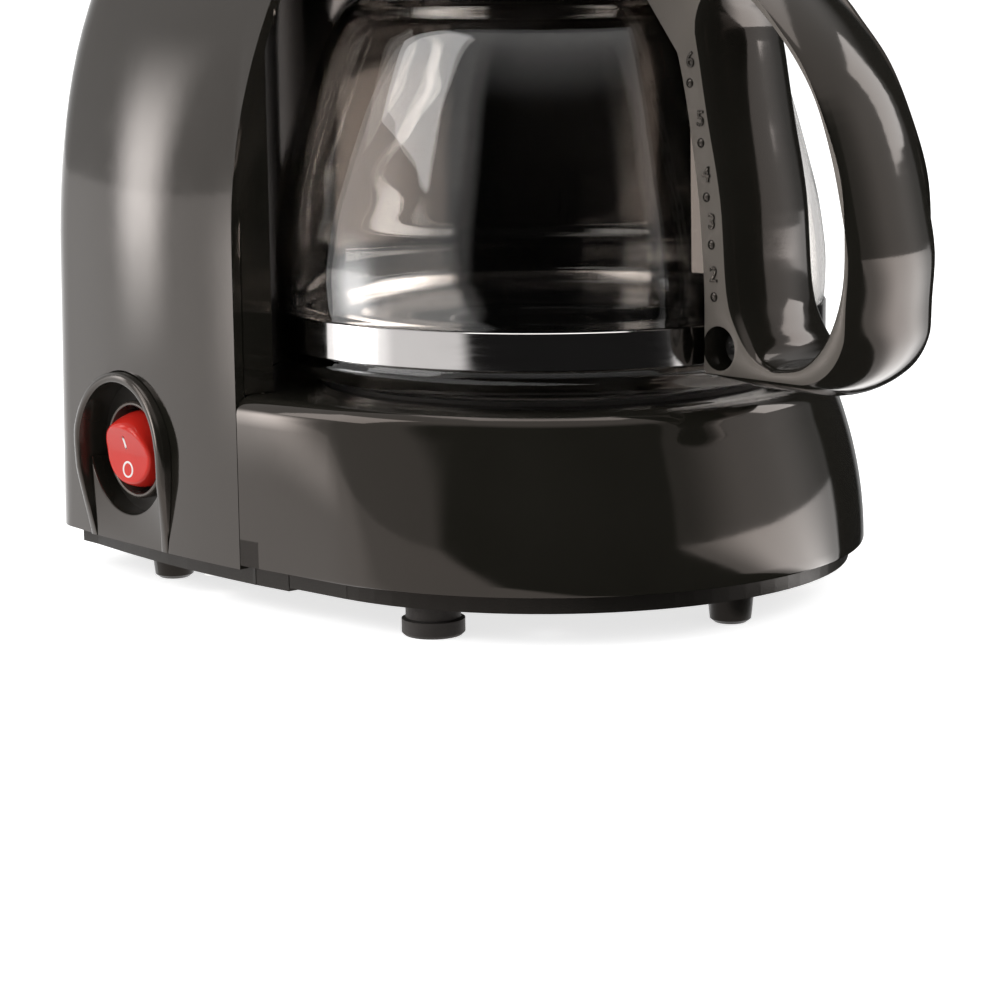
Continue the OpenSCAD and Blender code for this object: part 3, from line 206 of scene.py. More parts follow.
for finish, solids in solidFinish.items():
    for solid in solids:
        slots = nodes[solid].material_slots
        if len(slots) == 0:
            nodes[solid].data.materials.append(finishes[finish])
        for each in slots:
            each.material = finishes[finish]
print("finishes made:", len(finishes))


def applyModifiers(obj):
    bpy.context.view_layer.update()
    graph = bpy.context.evaluated_depsgraph_get()
    mesh = bpy.data.meshes.new_from_object(obj.evaluated_get(graph))
    obj.modifiers.clear()
    obj.data = mesh


def makePiece(name, points, faces, finish):   # points are in millimetres from the carafe's axis
    mesh = bpy.data.meshes.new(name)
    mesh.from_pydata([(x * unit, (y + axisY) * unit, z * unit) for x, y, z in points], [], faces)
    mesh.validate()
    mesh.update()
    obj = bpy.data.objects.new(name, mesh)
    scene.collection.objects.link(obj)
    mesh.materials.append(finishes[finish])
    return obj


def facingOut(obj):
    work = bmesh.new()
    work.from_mesh(obj.data)
    bmesh.ops.remove_doubles(work, verts=work.verts, dist=0.004 * unit)
    bmesh.ops.recalc_face_normals(work, faces=work.faces)
    work.to_mesh(obj.data)
    work.free()


def turnTowards(obj, axis, sign, counts=lambda face: True):   # flips an open skin that looks the wrong way
    facing = sum(face.normal[axis] * face.area for face in obj.data.polygons if counts(face))
    if facing * sign < 0:
        obj.data.flip_normals()


def settle(obj, body, sharpAngle, stands=()):
    obj.data.shade_smooth()
    obj.data.set_sharp_from_angle(angle=radians(sharpAngle))
    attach(obj, body)
    if stands:
        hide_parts(*stands)


def bevelEdges(obj, width):
    edge = obj.modifiers.new("edge", "BEVEL")
    edge.width = width * unit
    edge.segments = 2
    edge.limit_method = "ANGLE"
    edge.angle_limit = radians(50)
    applyModifiers(obj)


def gridFaces(rows, columns, wrapColumns=False, wrapRows=False, start=0):
    faces = []
    for r in range(rows if wrapRows else rows - 1):
        for c in range(columns if wrapColumns else columns - 1):
            here, above = start + r * columns, start + (r + 1) % rows * columns
            beside = (c + 1) % columns
            faces.append((here + c, here + beside, above + beside, above + c))
    return faces


def endFaces(size, count):   # closes the first and the last ring of a body with count points
    return [tuple(range(size)), tuple(count - 1 - k for k in range(size))]


def cutThrough(obj, rings, finish):   # rings holds the cutter's two ends
    size = len(rings) // 2
    cutter = makePiece("cutter", rings, gridFaces(2, size, True) + endFaces(size, 2 * size), finish)
    facingOut(cutter)
    cut = obj.modifiers.new("cut", "BOOLEAN")
    cut.operation = "DIFFERENCE"
    cut.solver = "EXACT"
    cut.object = cutter
    applyModifiers(obj)
    bpy.data.objects.remove(cutter)


def addPlate(points, faces, middle, thick, outline):   # a flat plate across X, added to a piece
    size, start = len(outline), len(points)
    for x in (middle - thick / 2, middle + thick / 2):
        points += [(x, y, z) for y, z in outline]
    faces += [tuple(start + i for i in face) for face in gridFaces(2, size, True) + endFaces(size, 2 * size)]


def circle(radius, steps):
    return [(radius * cos(2 * pi * k / steps), radius * sin(2 * pi * k / steps)) for k in range(steps)]


def quarter(steps, first=0):   # angles of a quarter turn
    return [pi / 2 * k / steps for k in range(first, steps + 1)]


def curveThrough(points, steps):   # a smooth curve through all its points
    out = []
    last = len(points) - 1
    for i in range(last):
        spots = zip(points[max(i - 1, 0)], points[i], points[i + 1], points[min(i + 2, last)])
        terms = [(2 * q, r - p, 2 * p - 5 * q + 4 * r - s, 3 * q - p - 3 * r + s) for p, q, r, s in spots]
        for t in [k / steps for k in range(steps)]:
            out.append(tuple(0.5 * (a + b * t + c * t * t + d * t ** 3) for a, b, c, d in terms))
    return out + [tuple(points[last])]


def roundedPath(points, steps=4, closed=True):   # each point has a corner radius
    out = []
    last = len(points) - 1
    for i, (a, b, radius) in enumerate(points):
        if radius == 0 or (not closed and i in (0, last)):
            out.append((a, b))
            continue
        here = Vector((a, b))
        before = Vector(points[i - 1][:2]) - here
        after = Vector(points[(i + 1) % len(points)][:2]) - here
        cut = min(radius, before.length * 0.48, after.length * 0.48)
        enter, leave = here + before.normalized() * cut, here + after.normalized() * cut
        for t in [k / steps for k in range(steps + 1)]:
            out.append(tuple(enter * (1 - t) ** 2 + here * 2 * t * (1 - t) + leave * t * t))
    return out


def revolved(name, profile, finish, closed=True, steps=128):   # turned about the carafe's axis
    points = [(x, y, z) for r, z in profile for x, y in circle(r, steps)]
    obj = makePiece(name, points, gridFaces(len(profile), steps, True, closed), finish)
    facingOut(obj)
    return obj


casing = {"halfWidth": 76.0, "bulge": 1.5, "back": 102.5, "corner": 12.5, "seam": 20.0, "bottom": 10.3,
          "joinY": 26.0, "leanStart": 78.0, "leanRadius": 290.0, "leanEnd": 137.0, "backLean": 1.2,
          "rim": 200.0, "draft": 0.04, "head": 160.0, "sweepStart": 89.0, "sweepRadius": 128.0,
          "sweepEnd": 135.0, "wall": 2.4, "edge": 0.5, "fullness": 1.6, "fullest": 128.0, "fullSpread": 26.0,
          "lowStep": 6.2, "middleFrom": 82.0, "middleStep": 5.3}
sweepRise = casing["sweepEnd"] - casing["sweepStart"]
archTurn = atan(sweepRise / casing["sweepRadius"])   # slope where the sweep becomes the arch under the head
archRadius = (casing["head"] - casing["sweepEnd"]) / (1 - sin(archTurn))
archY = casing["seam"] - sweepRise ** 2 / (2 * casing["sweepRadius"]) - archRadius * cos(archTurn)
archZ = casing["head"] - archRadius


def leanAt(z):   # how far the sides have leant in
    start, end, radius = casing["leanStart"], casing["leanEnd"], casing["leanRadius"]
    if z < start:
        return 0.0
    if z <= end:
        return (z - start) ** 2 / (2 * radius)
    return (end - start) ** 2 / (2 * radius) + (z - end) * (end - start) / radius


def backAt(z):
    fullness = casing["fullness"] * exp(-((z - casing["fullest"]) / casing["fullSpread"]) ** 2)
    drafted = casing["back"] - casing["draft"] * (z - casing["bottom"])
    return drafted - casing["backLean"] * leanAt(z) + fullness


def sideAt(y, z):
    half = casing["halfWidth"] - leanAt(z)
    fade = 1 - min(1, leanAt(z) / leanAt(casing["leanEnd"]))
    share = min(1, max(0, (y - casing["seam"]) / (casing["back"] - casing["corner"] - casing["seam"])))
    return half + casing["bulge"] * fade * sin(pi * share)


def frontAt(z):
    if z <= casing["sweepStart"]:
        return casing["seam"]
    if z <= casing["sweepEnd"]:
        return casing["seam"] - (z - casing["sweepStart"]) ** 2 / (2 * casing["sweepRadius"])
    return archY + sqrt(max(0, archRadius ** 2 - (z - archZ) ** 2))


def casingRow(z, low):   # one level, from the front to the middle of the back
    half, back, corner, join = casing["halfWidth"] - leanAt(z), backAt(z), casing["corner"], casing["joinY"]
    front = frontAt(z) if low else archY
    row = []
    if not low:              # the head is round in front
        turn = acos(min(1, max(-1, -archY / half)))
        row += [(half * sin(turn * k / 18), -half * cos(turn * k / 18), z) for k in range(18)]
    for y in [front + (join - front) * k / 19 for k in range(19)]:
        row.append((sqrt(max(0, half * half - y * y)) if y < 0 else sideAt(y, z), y, z))
    for y in [join + (back - corner - join) * k / 13 for k in range(13)]:
        row.append((sideAt(y, z), y, z))
    inner = sideAt(back - corner, z) - corner
    row += [(inner + corner * cos(a), back - corner + corner * sin(a), z) for a in quarter(12)]
    return row + [(inner * (1 - k / 8), back, z) for k in range(1, 9)]


switch = {"y": 63.3, "z": 32.4, "archRadius": 19.0, "archFoot": 16.5, "gap": 0.3, "rimWidth": 2.4,
          "rimHigh": 3.2, "wellRadius": 15.0, "wellDeep": 5.0, "bezelHigh": 3.0, "footZ": 10.3,
          "sideRun": 64.5, "footCut": 8.0, "cutDeep": 12.0}
switchBulge = casing["bulge"] * sin(pi * (switch["y"] - casing["seam"]) / switch["sideRun"])
switchX = -(casing["halfWidth"] + switchBulge)
switchFoot = switch["footZ"] - switch["z"]


def onSwitch(up, back, out):   # a place seen from the switch's middle
    return (switchX - out, switch["y"] + back, switch["z"] + up)


def archPath(inset):   # from the front foot over the arch to the rear foot
    radius, foot = switch["archRadius"] - inset, switch["archFoot"] - inset
    leg = [(switchFoot - switchFoot * k / 8, foot + (radius - foot) * sin(pi / 2 * k / 8)) for k in range(8)]
    arch = [(radius * cos(a), radius * sin(a)) for a in [radians(-90 + 180 * k / 48) for k in range(49)]]
    return [(up, -back) for up, back in leg] + arch + leg[::-1]


inlet = {"x": 40.0, "z": 26.0, "radius": 6.3, "cut": (90, 110)}


def makeCasing():
    lowLevels = [casing["bottom"] + casing["lowStep"] * k for k in range(12)]
    lowLevels += [casing["middleFrom"] + casing["middleStep"] * k for k in range(10)]
    lowLevels += [archZ + archRadius * sin(archTurn + (pi / 2 - archTurn) * k / 16) for k in range(17)]
    highLevels = [casing["head"] + (casing["rim"] - casing["head"]) * k / 7 for k in range(8)]
    points, faces = [], []
    for levels, low in ((lowLevels, True), (highLevels, False)):
        start = len(points)
        for z in levels:
            points += casingRow(z, low)
        faces += gridFaces(len(levels), (len(points) - start) // len(levels), start=start)
    count = len(points)
    points += [(-x, y, z) for x, y, z in points]
    faces += [tuple(count + i for i in reversed(face)) for face in faces]
    skin = makePiece("outerCasing", points, faces, "glossBlack")
    facingOut(skin)
    wall = skin.modifiers.new("wall", "SOLIDIFY")
    wall.thickness = casing["wall"] * unit
    wall.offset = -1
    wall.use_even_offset = True
    wall.use_quality_normals = True
    applyModifiers(skin)
    arch, below, deep = archPath(0), switchFoot - switch["footCut"], switch["cutDeep"]
    arch = [(below, arch[0][1])] + arch + [(below, arch[-1][1])]
    cutThrough(skin, [onSwitch(up, back, out) for out in (-deep, deep) for up, back in arch], "glossBlack")
    cutThrough(skin, [(inlet["x"] + across, y, inlet["z"] + up) for y in inlet["cut"]
                      for across, up in circle(inlet["radius"], 48)], "glossBlack")
    bevelEdges(skin, casing["edge"])
    settle(skin, "base", 30, ["outer_casing"])


hinge = {"x": 28.0, "gap": 5.2, "ear": 3.0, "earFoot": 193.0, "knuckle": 2.4, "lidLug": 6.0, "trim": 0.2,
         "edge": 0.3, "y": backAt(200) + 0.4, "z": 202.8}


def makeHingeEars():
    y, z, r = hinge["y"], hinge["z"], hinge["knuckle"]
    outline = [(y - r, hinge["earFoot"]), (y - r, z)]
    outline += [(y - r * cos(pi * k / 12), z + r * sin(pi * k / 12)) for k in range(1, 12)]
    outline += [(y + r - hinge["trim"], z), (y + r - hinge["trim"], hinge["earFoot"])]
    points, faces = [], []
    for side in (-1, 1):
        for x in (hinge["x"] - hinge["gap"], hinge["x"] + hinge["gap"]):
            addPlate(points, faces, side * x, hinge["ear"], outline)
    ears = makePiece("hingeEars", points, faces, "glossBlack")
    facingOut(ears)
    bevelEdges(ears, hinge["edge"])
    settle(ears, "base", 30)


makeCasing()
makeHingeEars()
print("casing made")


drum = {"radius": 73.0, "taper": 6.5, "bottom": 11.3, "deck": 49.8, "round": 4.0, "hole": 54.2,
        "holeDeep": 3.0, "turn": 82.0, "seam": 19.75, "half": 76.0, "wall": 2.4, "slant": 0.36,
        "rearReach": 68.1, "fadeStart": 28, "fadeSpan": 20}


def drumHalf(inset):   # from the middle of the front to the seam
    radius = drum["radius"] - inset
    half = [(radius * sin(a), -radius * cos(a)) for a in [radians(drum["turn"] * k / 40) for k in range(41)]]
    x0, y0 = half[-1]
    x1, y1 = drum["half"] - inset, drum["seam"]
    return half + [(x0 + (x1 - x0) * k / 10, y0 + (y1 - y0) * k / 10) for k in range(1, 11)]


def drumOutline(inset):   # the taper fades out towards the seam, so the skin meets the casing's side there
    half = []
    for k, (inner, full) in enumerate(zip(drumHalf(inset), drumHalf(max(0.0, inset - drum["taper"])))):
        share = min(1, max(0, (k - drum["fadeStart"]) / drum["fadeSpan"]))
        share = share * share * (3 - 2 * share)
        half.append((inner[0] + (full[0] - inner[0]) * share, inner[1] + (full[1] - inner[1]) * share))
    return [(-x, y) for x, y in reversed(half[1:])] + half


def makeDrum():
    bottom, deck, soft, hole = drum["bottom"], drum["deck"], drum["round"], drum["hole"]
    rise = deck - soft - bottom
    levels = [(1.8, bottom + 6), (1.8, bottom + 0.3), (1.5, bottom), (0.4, bottom), (0.1, bottom + 0.15)]
    levels += [(drum["taper"] * (k / 14) ** 2, bottom + 0.5 * (k == 0) + rise * k / 14) for k in range(15)]
    levels += [(drum["taper"] + soft * (1 - cos(a)) + drum["slant"] * sin(a), deck - soft + soft * sin(a))
               for a in quarter(8, 1)]
    points = [(x, y, z) for inset, z in levels for x, y in drumOutline(inset)]
    edge = drumOutline(levels[-1][0])
    columns = len(edge)
    faces = gridFaces(len(levels), columns)
    deckStart = len(points) - columns
    lipZ = deck - drum["holeDeep"]
    for share, z in ((0.5, deck), (1.0, deck), (1.0, lipZ)):   # the deck, in to the warming plate's hole
        for x, y in edge:
            a = atan2(y, x)
            r = hypot(x, y) * (1 - share) + hole * share
            points.append((r * cos(a), r * sin(a), z))
    faces += gridFaces(4, columns, start=deckStart)
    first = atan2(edge[-1][1], edge[-1][0])
    rear = [first + (pi - 2 * first) * k / 48 for k in range(49)]
    rearStart = len(points)
    rim = drum["rearReach"]
    for r, z in ((rim, deck - drum["wall"]), (rim, deck), (hole, deck), (hole, lipZ)):   # inside the tower
        points += [(r * cos(a), r * sin(a), z) for a in rear]
    faces += gridFaces(4, len(rear), start=rearStart)
    shell = makePiece("drumShell", points, faces, "glossBlack")
    facingOut(shell)
    turnTowards(shell, 2, 1, lambda face: abs(face.center.z - deck * unit) < 0.01 * unit)
    settle(shell, "base", 40, ["drum_housing"])


makeDrum()
print("drum made")


carafe = {"base": 51.5, "glass": 63.7, "neck": 40.0, "bandLow": 7.25, "bandHigh": 8.2, "bandThick": 0.6,
          "bandSoft": 0.15, "collar": 138.6, "collarHigh": 11.0, "collarWide": 3.3, "gap": 0.3}


def makeGlass():
    g, neck, steps = carafe["glass"], carafe["neck"], 160
    outside = [(0, 1.6), (24, 1.5), (g - 16, 0.8), (g - 12, 0.0), (g - 8, 0.15), (g - 4, 1.2),
               (g - 1.3, 3.0), (g + 0.15, 5.0), (g - 0.25, 6.4), (g - 0.6, 7.4), (g - 0.6, 11.5),
               (g - 0.55, 15.2), (g - 0.2, 18), (g, 24.5), (g - 0.5, 30.5), (g - 1.9, 39.5), (g - 4.2, 48.6),
               (g - 6.7, 57.7), (g - 9.6, 67), (g - 13.2, 76.4), (g - 15.7, 80.6), (g - 18.0, 83.4),
               (g - 20.6, 85.2), (neck + 1.4, 86.3), (neck + 0.2, 88.4), (neck, 92), (neck, 97.2),
               (neck - 0.5, 98.1)]
    inside = [(neck - 1.5, 98.1), (neck - 2, 97.2), (neck - 2, 92), (neck - 1.9, 88.0), (neck - 1.0, 85.4),
              (g - 22.0, 83.6), (g - 19.6, 81.8), (g - 17.2, 79.2), (g - 14.8, 75.0), (g - 11.4, 66.2),
              (g - 8.6, 57.0), (g - 6.1, 48.0), (g - 3.9, 39.2), (g - 2.5, 30.4), (g - 2.0, 24.5),
              (g - 2.1, 17), (g - 2.3, 10), (g - 3.4, 6.2), (g - 6.5, 3.6), (g - 12, 2.4), (g - 20, 2.6),
              (24, 3.5), (0, 3.6)]
    curve = curveThrough(outside, 4) + curveThrough(inside, 4)
    profile = [(max(0.0, r), z + carafe["base"]) for r, z in curve]
    points = [(0, 0, profile[0][1]), (0, 0, profile[-1][1])]
    points += [(x, y, z) for r, z in profile[1:-1] for x, y in circle(r, steps)]
    rings = len(profile) - 2
    lastRing = 2 + (rings - 1) * steps
    faces = gridFaces(rings, steps, True, start=2)
    faces += [(0, 2 + (k + 1) % steps, 2 + k) for k in range(steps)]
    faces += [(1, lastRing + k, lastRing + (k + 1) % steps) for k in range(steps)]
    vessel = makePiece("glassVessel", points, faces, "carafeGlass")
    facingOut(vessel)
    settle(vessel, "carafe", 80, ["carafe_glass"])


band = {"radius": carafe["glass"] - 0.5, "tabHalf": 2.4, "tabEnd": -73.6, "corner": 2.0}


def makeBand():
    radius, half, high, soft = band["radius"], carafe["bandThick"] / 2, carafe["bandHigh"], carafe["bandSoft"]
    tabX = -band["tabHalf"]
    ears = [(tabX - half, band["tabEnd"]), (tabX - half, -68.5), (tabX - half, -66.4), (tabX - 0.8, -65.0),
            (tabX - 1.6, -64.1)]
    begin = asin((band["tabHalf"] + band["corner"]) / radius)
    turns = [begin + (2 * pi - 2 * begin) * k / 160 for k in range(161)]
    path = ears + [((radius + half) * sin(-a), -(radius + half) * cos(a)) for a in turns]
    path += [(-x, y) for x, y in reversed(ears)]
    section = [(-half, soft), (-half + soft, 0), (half - soft, 0), (half, soft), (half, high - soft),
               (half - soft, high), (-half + soft, high), (-half, high - soft)]
    points = []
    for i, (x, y) in enumerate(path):
        ahead = Vector(path[min(i + 1, len(path) - 1)]) - Vector(path[max(i - 1, 0)])
        across = Vector((ahead.y, -ahead.x)).normalized()
        points += [(x + across.x * offset, y + across.y * offset, z + carafe["base"] + carafe["bandLow"])
                   for offset, z in section]
    size = len(section)
    faces = gridFaces(len(path), size, True) + endFaces(size, len(points))
    strap = makePiece("steelBand", points, faces, "bandSteel")
    facingOut(strap)
    settle(strap, "carafe", 30, ["carafe_band"])


def makeCollar():
    inner, outer = carafe["neck"] + carafe["gap"], carafe["neck"] + carafe["collarWide"]
    low, high = carafe["collar"], carafe["collar"] + carafe["collarHigh"]
    section = roundedPath([(inner, low, 0.4), (outer, low, 1.0), (outer, high, 0.8), (inner, high, 0.4)])
    settle(revolved("neckCollar", section, "handleBlack"), "carafe", 40, ["carafe_collar"])


def makeCarafeLid():
    low = carafe["collar"] + carafe["collarHigh"] + carafe["gap"]
    section = roundedPath([(0.0, low + 1.8, 0), (35.6, low + 1.8, 0.4), (35.6, low - 6, 0.4),
                           (37.4, low - 6, 0.5), (37.4, low, 0.2), (43, low, 0.5), (43, low + 2.2, 1.0),
                           (41.4, low + 3.8, 1.4), (34, low + 5.4, 3.0), (9, low + 5.4, 1.0),
                           (6, low + 6, 1.0), (0.0, low + 6, 0)], 4, False)
    cover = revolved("carafeLid", section, "handleBlack", False)
    outline = roundedPath([(-9, -54.2, 3), (9, -54.2, 3), (8, -40, 0), (-8, -40, 0)], 5)
    levels = [(0.0, 0.4), (0.25, 0.1), (0.6, 0.0), (2.0, 0.0), (2.4, 0.15), (2.6, 0.5)]
    points = [(x * (1 - inset / 9), y + inset, low + z) for z, inset in levels for x, y in outline]
    size = len(outline)
    faces = gridFaces(len(levels), size, True) + endFaces(size, len(points))
    thumbTab = makePiece("carafeLidTab", points, faces, "handleBlack")
    facingOut(thumbTab)
    settle(cover, "carafe_lid", 40, ["carafe_lid"])
    settle(thumbTab, "carafe_lid", 40)


makeGlass()
makeBand()
makeCollar()
makeCarafeLid()
print("carafe made")


handle = {"half": 13.0, "crown": 2.95, "soft": 0.5, "softFrom": 0.93, "softSpan": 0.07, "base": 51.5,
          "centre": (-86.0, 45.0), "stations": 200, "well": 4.8, "wellAt": (-69.6, 63.0), "wellDeep": 7.6,
          "bendRadius": 14.0, "bendAt": (-92.9, 19.6), "phase": 0.37, "thinnest": 0.2, "fullWide": 9.0,
          "legReach": 66.5, "legTop": 86.0, "topReach": 62.0, "topFrom": 80.0, "gripFrom": 70.0,
          "gripReach": 60.0, "gripFade": 8.0, "legFade": 9.0}
innerLeg = [(-64.6, 5.4), (-64.7, 22), (-64, 32), (-62.9, 43), (-61.2, 53), (-59, 64), (-55.9, 75),
            (-51.4, 85)]
upperGrip = [(-47, 86.6), (-44.4, 87.4), (-43.9, 88.2), (-43.9, 91.5), (-45.5, 93.3), (-56, 93.0),
             (-66, 92.0), (-76, 87.5), (-84.5, 81.0), (-92, 73.5), (-98, 65), (-102.5, 54), (-105.5, 43),
             (-107.5, 33), (-106.9, 23)]
lowerBend = [(handle["bendAt"][0] + handle["bendRadius"] * cos(pi + a),
              handle["bendAt"][1] + handle["bendRadius"] * sin(pi + a)) for a in quarter(8, 1)]
fingerHole = [(-86, 8.3), (-80, 10.6), (-75, 16.4), (-72.2, 24), (-70.4, 43), (-66.5, 60), (-64, 72),
              (-62.6, 80), (-66, 86.5), (-73, 88.0), (-80, 85.0), (-85.5, 80.0), (-93.4, 71.6), (-99.5, 61),
              (-104.3, 49), (-105.5, 37), (-104.9, 26), (-101.2, 16.4), (-94.5, 10), (-86, 8.3)]
gripX = [1.0, 0.995, 0.97, 0.9, 0.78, 0.62, 0.42, 0.21]   # shares of the half width, closer at the edge
gripX = [-x for x in gripX] + [0.0] + gripX[::-1]


def crossing(line, angle):   # where a ray from the handle's middle last meets a line
    y, z = handle["centre"]
    middle, far = Vector((y, z)), Vector((y + 300 * cos(angle), z + 300 * sin(angle)))
    spots = [Vector(spot) for spot in line]
    hits = [geometry.intersect_line_line_2d(middle, far, a, b) for a, b in zip(spots, spots[1:])]
    return max([hit for hit in hits if hit is not None], key=lambda hit: (hit - middle).length)


def outward(ring, k):
    ahead = ring[(k + 1) % len(ring)] - ring[k - 1]
    return Vector((ahead.y, -ahead.x)).normalized()


def crownAt(spot):   # the skin is flat beside the glass and crowned on the grip
    reach, high = -spot.x, spot.y
    besideGlass = reach < handle["legReach"] and high < handle["legTop"]
    if besideGlass or (reach < handle["topReach"] and high >= handle["topFrom"]):
        return 0.0
    if high > handle["gripFrom"]:
        return min(1, max(0, (reach - handle["gripReach"]) / handle["gripFade"]))
    return min(1, max(0, (reach - handle["legReach"]) / handle["legFade"]))


def makeHandle():
    grip = [innerLeg[-1]] + upperGrip + lowerBend + [(-82, 5.5), (-72, 5.4), innerLeg[0]]
    outerLine = curveThrough(innerLeg, 4)[:-1] + curveThrough(grip, 4)
    outerLine.append(outerLine[0])
    holeLine = curveThrough(fingerHole, 6)
    count = handle["stations"]
    angles = [2 * pi * (k + handle["phase"]) / count for k in range(count)]
    outerRing = [crossing(outerLine, angle) for angle in angles]
    holeRing = [crossing(holeLine, angle) for angle in angles]
    points = []
    for k, (outer, inner) in enumerate(zip(outerRing, holeRing)):
        thinning = min(1.0, handle["thinnest"] + (outer - inner).length / handle["fullWide"])
        for spot, normal, sign, share in ((outer, outward(outerRing, k), 1, crownAt(outer)),
                                          (inner, outward(holeRing, k), -1, thinning)):
            for s in gripX[::sign]:
                edge = max(0, (abs(s) - handle["softFrom"]) / handle["softSpan"])
                lift = sign * (handle["crown"] * (1 - s * s) * share - handle["soft"] * edge ** 2)
                points.append((s * handle["half"], spot.x + normal.x * lift,
                               spot.y + normal.y * lift + handle["base"]))
    loop = makePiece("loopHandle", points, gridFaces(count, 2 * len(gripX), True, True), "handleBlack")
    facingOut(loop)
    cutThrough(loop, [(x, handle["wellAt"][0] + back, handle["wellAt"][1] + up)
                      for x in (-20, -handle["half"] + handle["wellDeep"])
                      for back, up in circle(handle["well"], 40)], "handleBlack")
    # the flat side faces wear the lighter grey, a painted reflection of the pale surroundings
    loop.data.materials.append(finishes["handleSidePaintedSheen"])
    for face in loop.data.polygons:
        if abs(face.normal.x) > 0.93 and abs(face.center.x) > (handle["half"] - 0.3) * unit:
            face.material_index = 1
    settle(loop, "carafe", 38, ["carafe_handle"])


cupMarks = {"size": 4.6, "high": 0.3, "soft": 0.1, "thin": 0.02, "sunk": 0.02, "dot": 1.05, "dotHigh": 0.5,
            "places": [("6", (-61.0, 123.7), (-60.7, 118.9)), ("5", (-64.1, 111.4), (-64.1, 106.4)),
                       ("4", (-65.9, 99.7), (-65.8, 95.0)), ("3", (-67.5, 89.8), (-67.3, 85.0)),
                       ("2", (-68.1, 78.6), (-68.1, 73.9))]}


def makeFigure(figure, y, z):
    letter = bpy.data.curves.new("mark" + figure, "FONT")
    letter.body = figure
    letter.size = cupMarks["size"] * unit
    letter.extrude = cupMarks["high"] * unit
    letter.bevel_depth = cupMarks["soft"] * unit
    letter.offset = -cupMarks["thin"] * unit
    letter.align_x = "CENTER"
    letter.align_y = "CENTER"
    work = bpy.data.objects.new("markWork", letter)
    scene.collection.objects.link(work)
    bpy.context.view_layer.update()
    mesh = bpy.data.meshes.new_from_object(work.evaluated_get(bpy.context.evaluated_depsgraph_get()))
    bpy.data.objects.remove(work)
    x = -(handle["half"] + cupMarks["sunk"])
    mesh.transform(Matrix(((0, 0, -1, x * unit), (-1, 0, 0, (y + axisY) * unit), (0, 1, 0, z * unit),
                           (0, 0, 0, 1))))   # stands the figure on the handle's side
    mesh.materials.clear()
    mesh.materials.append(finishes["handleBlack"])
    obj = bpy.data.objects.new("cupMark" + figure, mesh)
    scene.collection.objects.link(obj)
    settle(obj, "carafe", 30)


def makeDot(figure, y, z):
    dome = [(cupMarks["dot"] * cos(a), cupMarks["dotHigh"] * sin(a)) for a in quarter(6)[:-1]]
    points = [(-handle["half"] - high, y + back, z + up) for r, high in dome for back, up in circle(r, 24)]
    faces = gridFaces(len(dome), 24, True) + endFaces(24, len(points))[1:]
    settle(makePiece("cupDot" + figure, points, faces, "handleBlack"), "carafe", 50)


makeHandle()
for figure, figureAt, dotAt in cupMarks["places"]:
    makeFigure(figure, *figureAt)
    makeDot(figure, *dotAt)
print("handle made")


def archHigh(up):   # the rim is low at its feet
    high = switch["rimHigh"]
    stops = [(switchFoot, 0.12), (-6, high * 0.9), (4, high), (switch["archRadius"] + 1, high * 0.8)]
    for (u0, h0), (u1, h1) in zip(stops, stops[1:]):
        if up <= u1:
            return h0 + (h1 - h0) * max(0, (up - u0) / (u1 - u0))
    return stops[-1][1]


def makeArchRim():
    # share of the width, then share of the height, or a depth where it is below zero
    section = [(0.0, -2.4), (0.0, 0.55), (0.08, 0.8), (0.25, 0.95), (0.5, 1.0), (0.8, 1.0), (0.92, 0.95),
               (1.0, 0.8), (1.0, -7.4)]
    outer, inner = archPath(switch["gap"]), archPath(switch["gap"] + switch["rimWidth"])
    points = []
    for (u0, b0), (u1, b1) in zip(outer, inner):
        for share, level in section:
            out = level * archHigh(u0) if level > 0 else level
            points.append(onSwitch(u0 + (u1 - u0) * share, b0 + (b1 - b0) * share, out))
    rim = makePiece("archRim", points, gridFaces(len(outer), len(section)), "frameGloss")
    facingOut(rim)
    turnTowards(rim, 0, -1, lambda face: face.center.x < (switchX - 2.0) * unit)
    settle(rim, "base", 40, ["switch_frame"])


well = {"flare": 1.4, "overlap": 0.1, "oval": 1.04, "openAngle": 12, "floorHigh": 18.5, "floorWide": 16.4,
        "floorHole": 11.2,
        "lip": [(0.0, -7.4), (0.0, -0.7), (0.06, -0.3), (0.2, -0.08), (0.5, 0.0)]}


def makeTongue():   # the casing's wall below the round well
    width = switch["archFoot"] - switch["gap"] - switch["rimWidth"] + well["overlap"]
    reach, radius = width + well["flare"], switch["wellRadius"]
    turns = [radians(well["openAngle"] + (180 - 2 * well["openAngle"]) * k / 40) for k in range(41)]
    curve = [(-radius * sin(a), min(reach, max(-reach, radius * cos(a) * well["oval"]))) for a in turns]
    points = [onSwitch(up - inset, back, out) for inset, out in well["lip"] for up, back in curve]
    points += [onSwitch(switchFoot, back * (width / reach), 0.0) for up, back in curve]
    tongue = makePiece("switchTongue", points, gridFaces(len(well["lip"]) + 1, len(curve)), "glossBlack")
    facingOut(tongue)
    turnTowards(tongue, 0, -1)
    settle(tongue, "base", 40)


def makeWellFloor():
    high, wide, deep = well["floorHigh"], well["floorWide"], -switch["wellDeep"]
    points = [onSwitch(high * up, wide * back, deep) for up, back in circle(1, 64)]
    points += [onSwitch(up, back, deep) for up, back in circle(well["floorHole"], 64)]
    wellFloor = makePiece("wellFloor", points, gridFaces(2, 64, True), "satinBlack")
    turnTowards(wellFloor, 0, -1)
    settle(wellFloor, "base", 40)


def makeBezel():
    low = -switch["wellDeep"]
    section = roundedPath([(10.5, low - 9, 0), (11.1, low - 9, 0), (11.1, low, 0), (11.6, low, 0.1),
                           (11.6, low + 2.4, 0.5), (11.0, low + 3.0, 0.3), (10.5, low + 2.8, 0.2)], 5)
    points = [onSwitch(u, b, out) for r, out in section for u, b in circle(r, 96)]
    bezel = makePiece("switchBezel", points, gridFaces(len(section), 96, True, True), "bezelGrey")
    facingOut(bezel)
    settle(bezel, "base", 40, ["switch_body"])


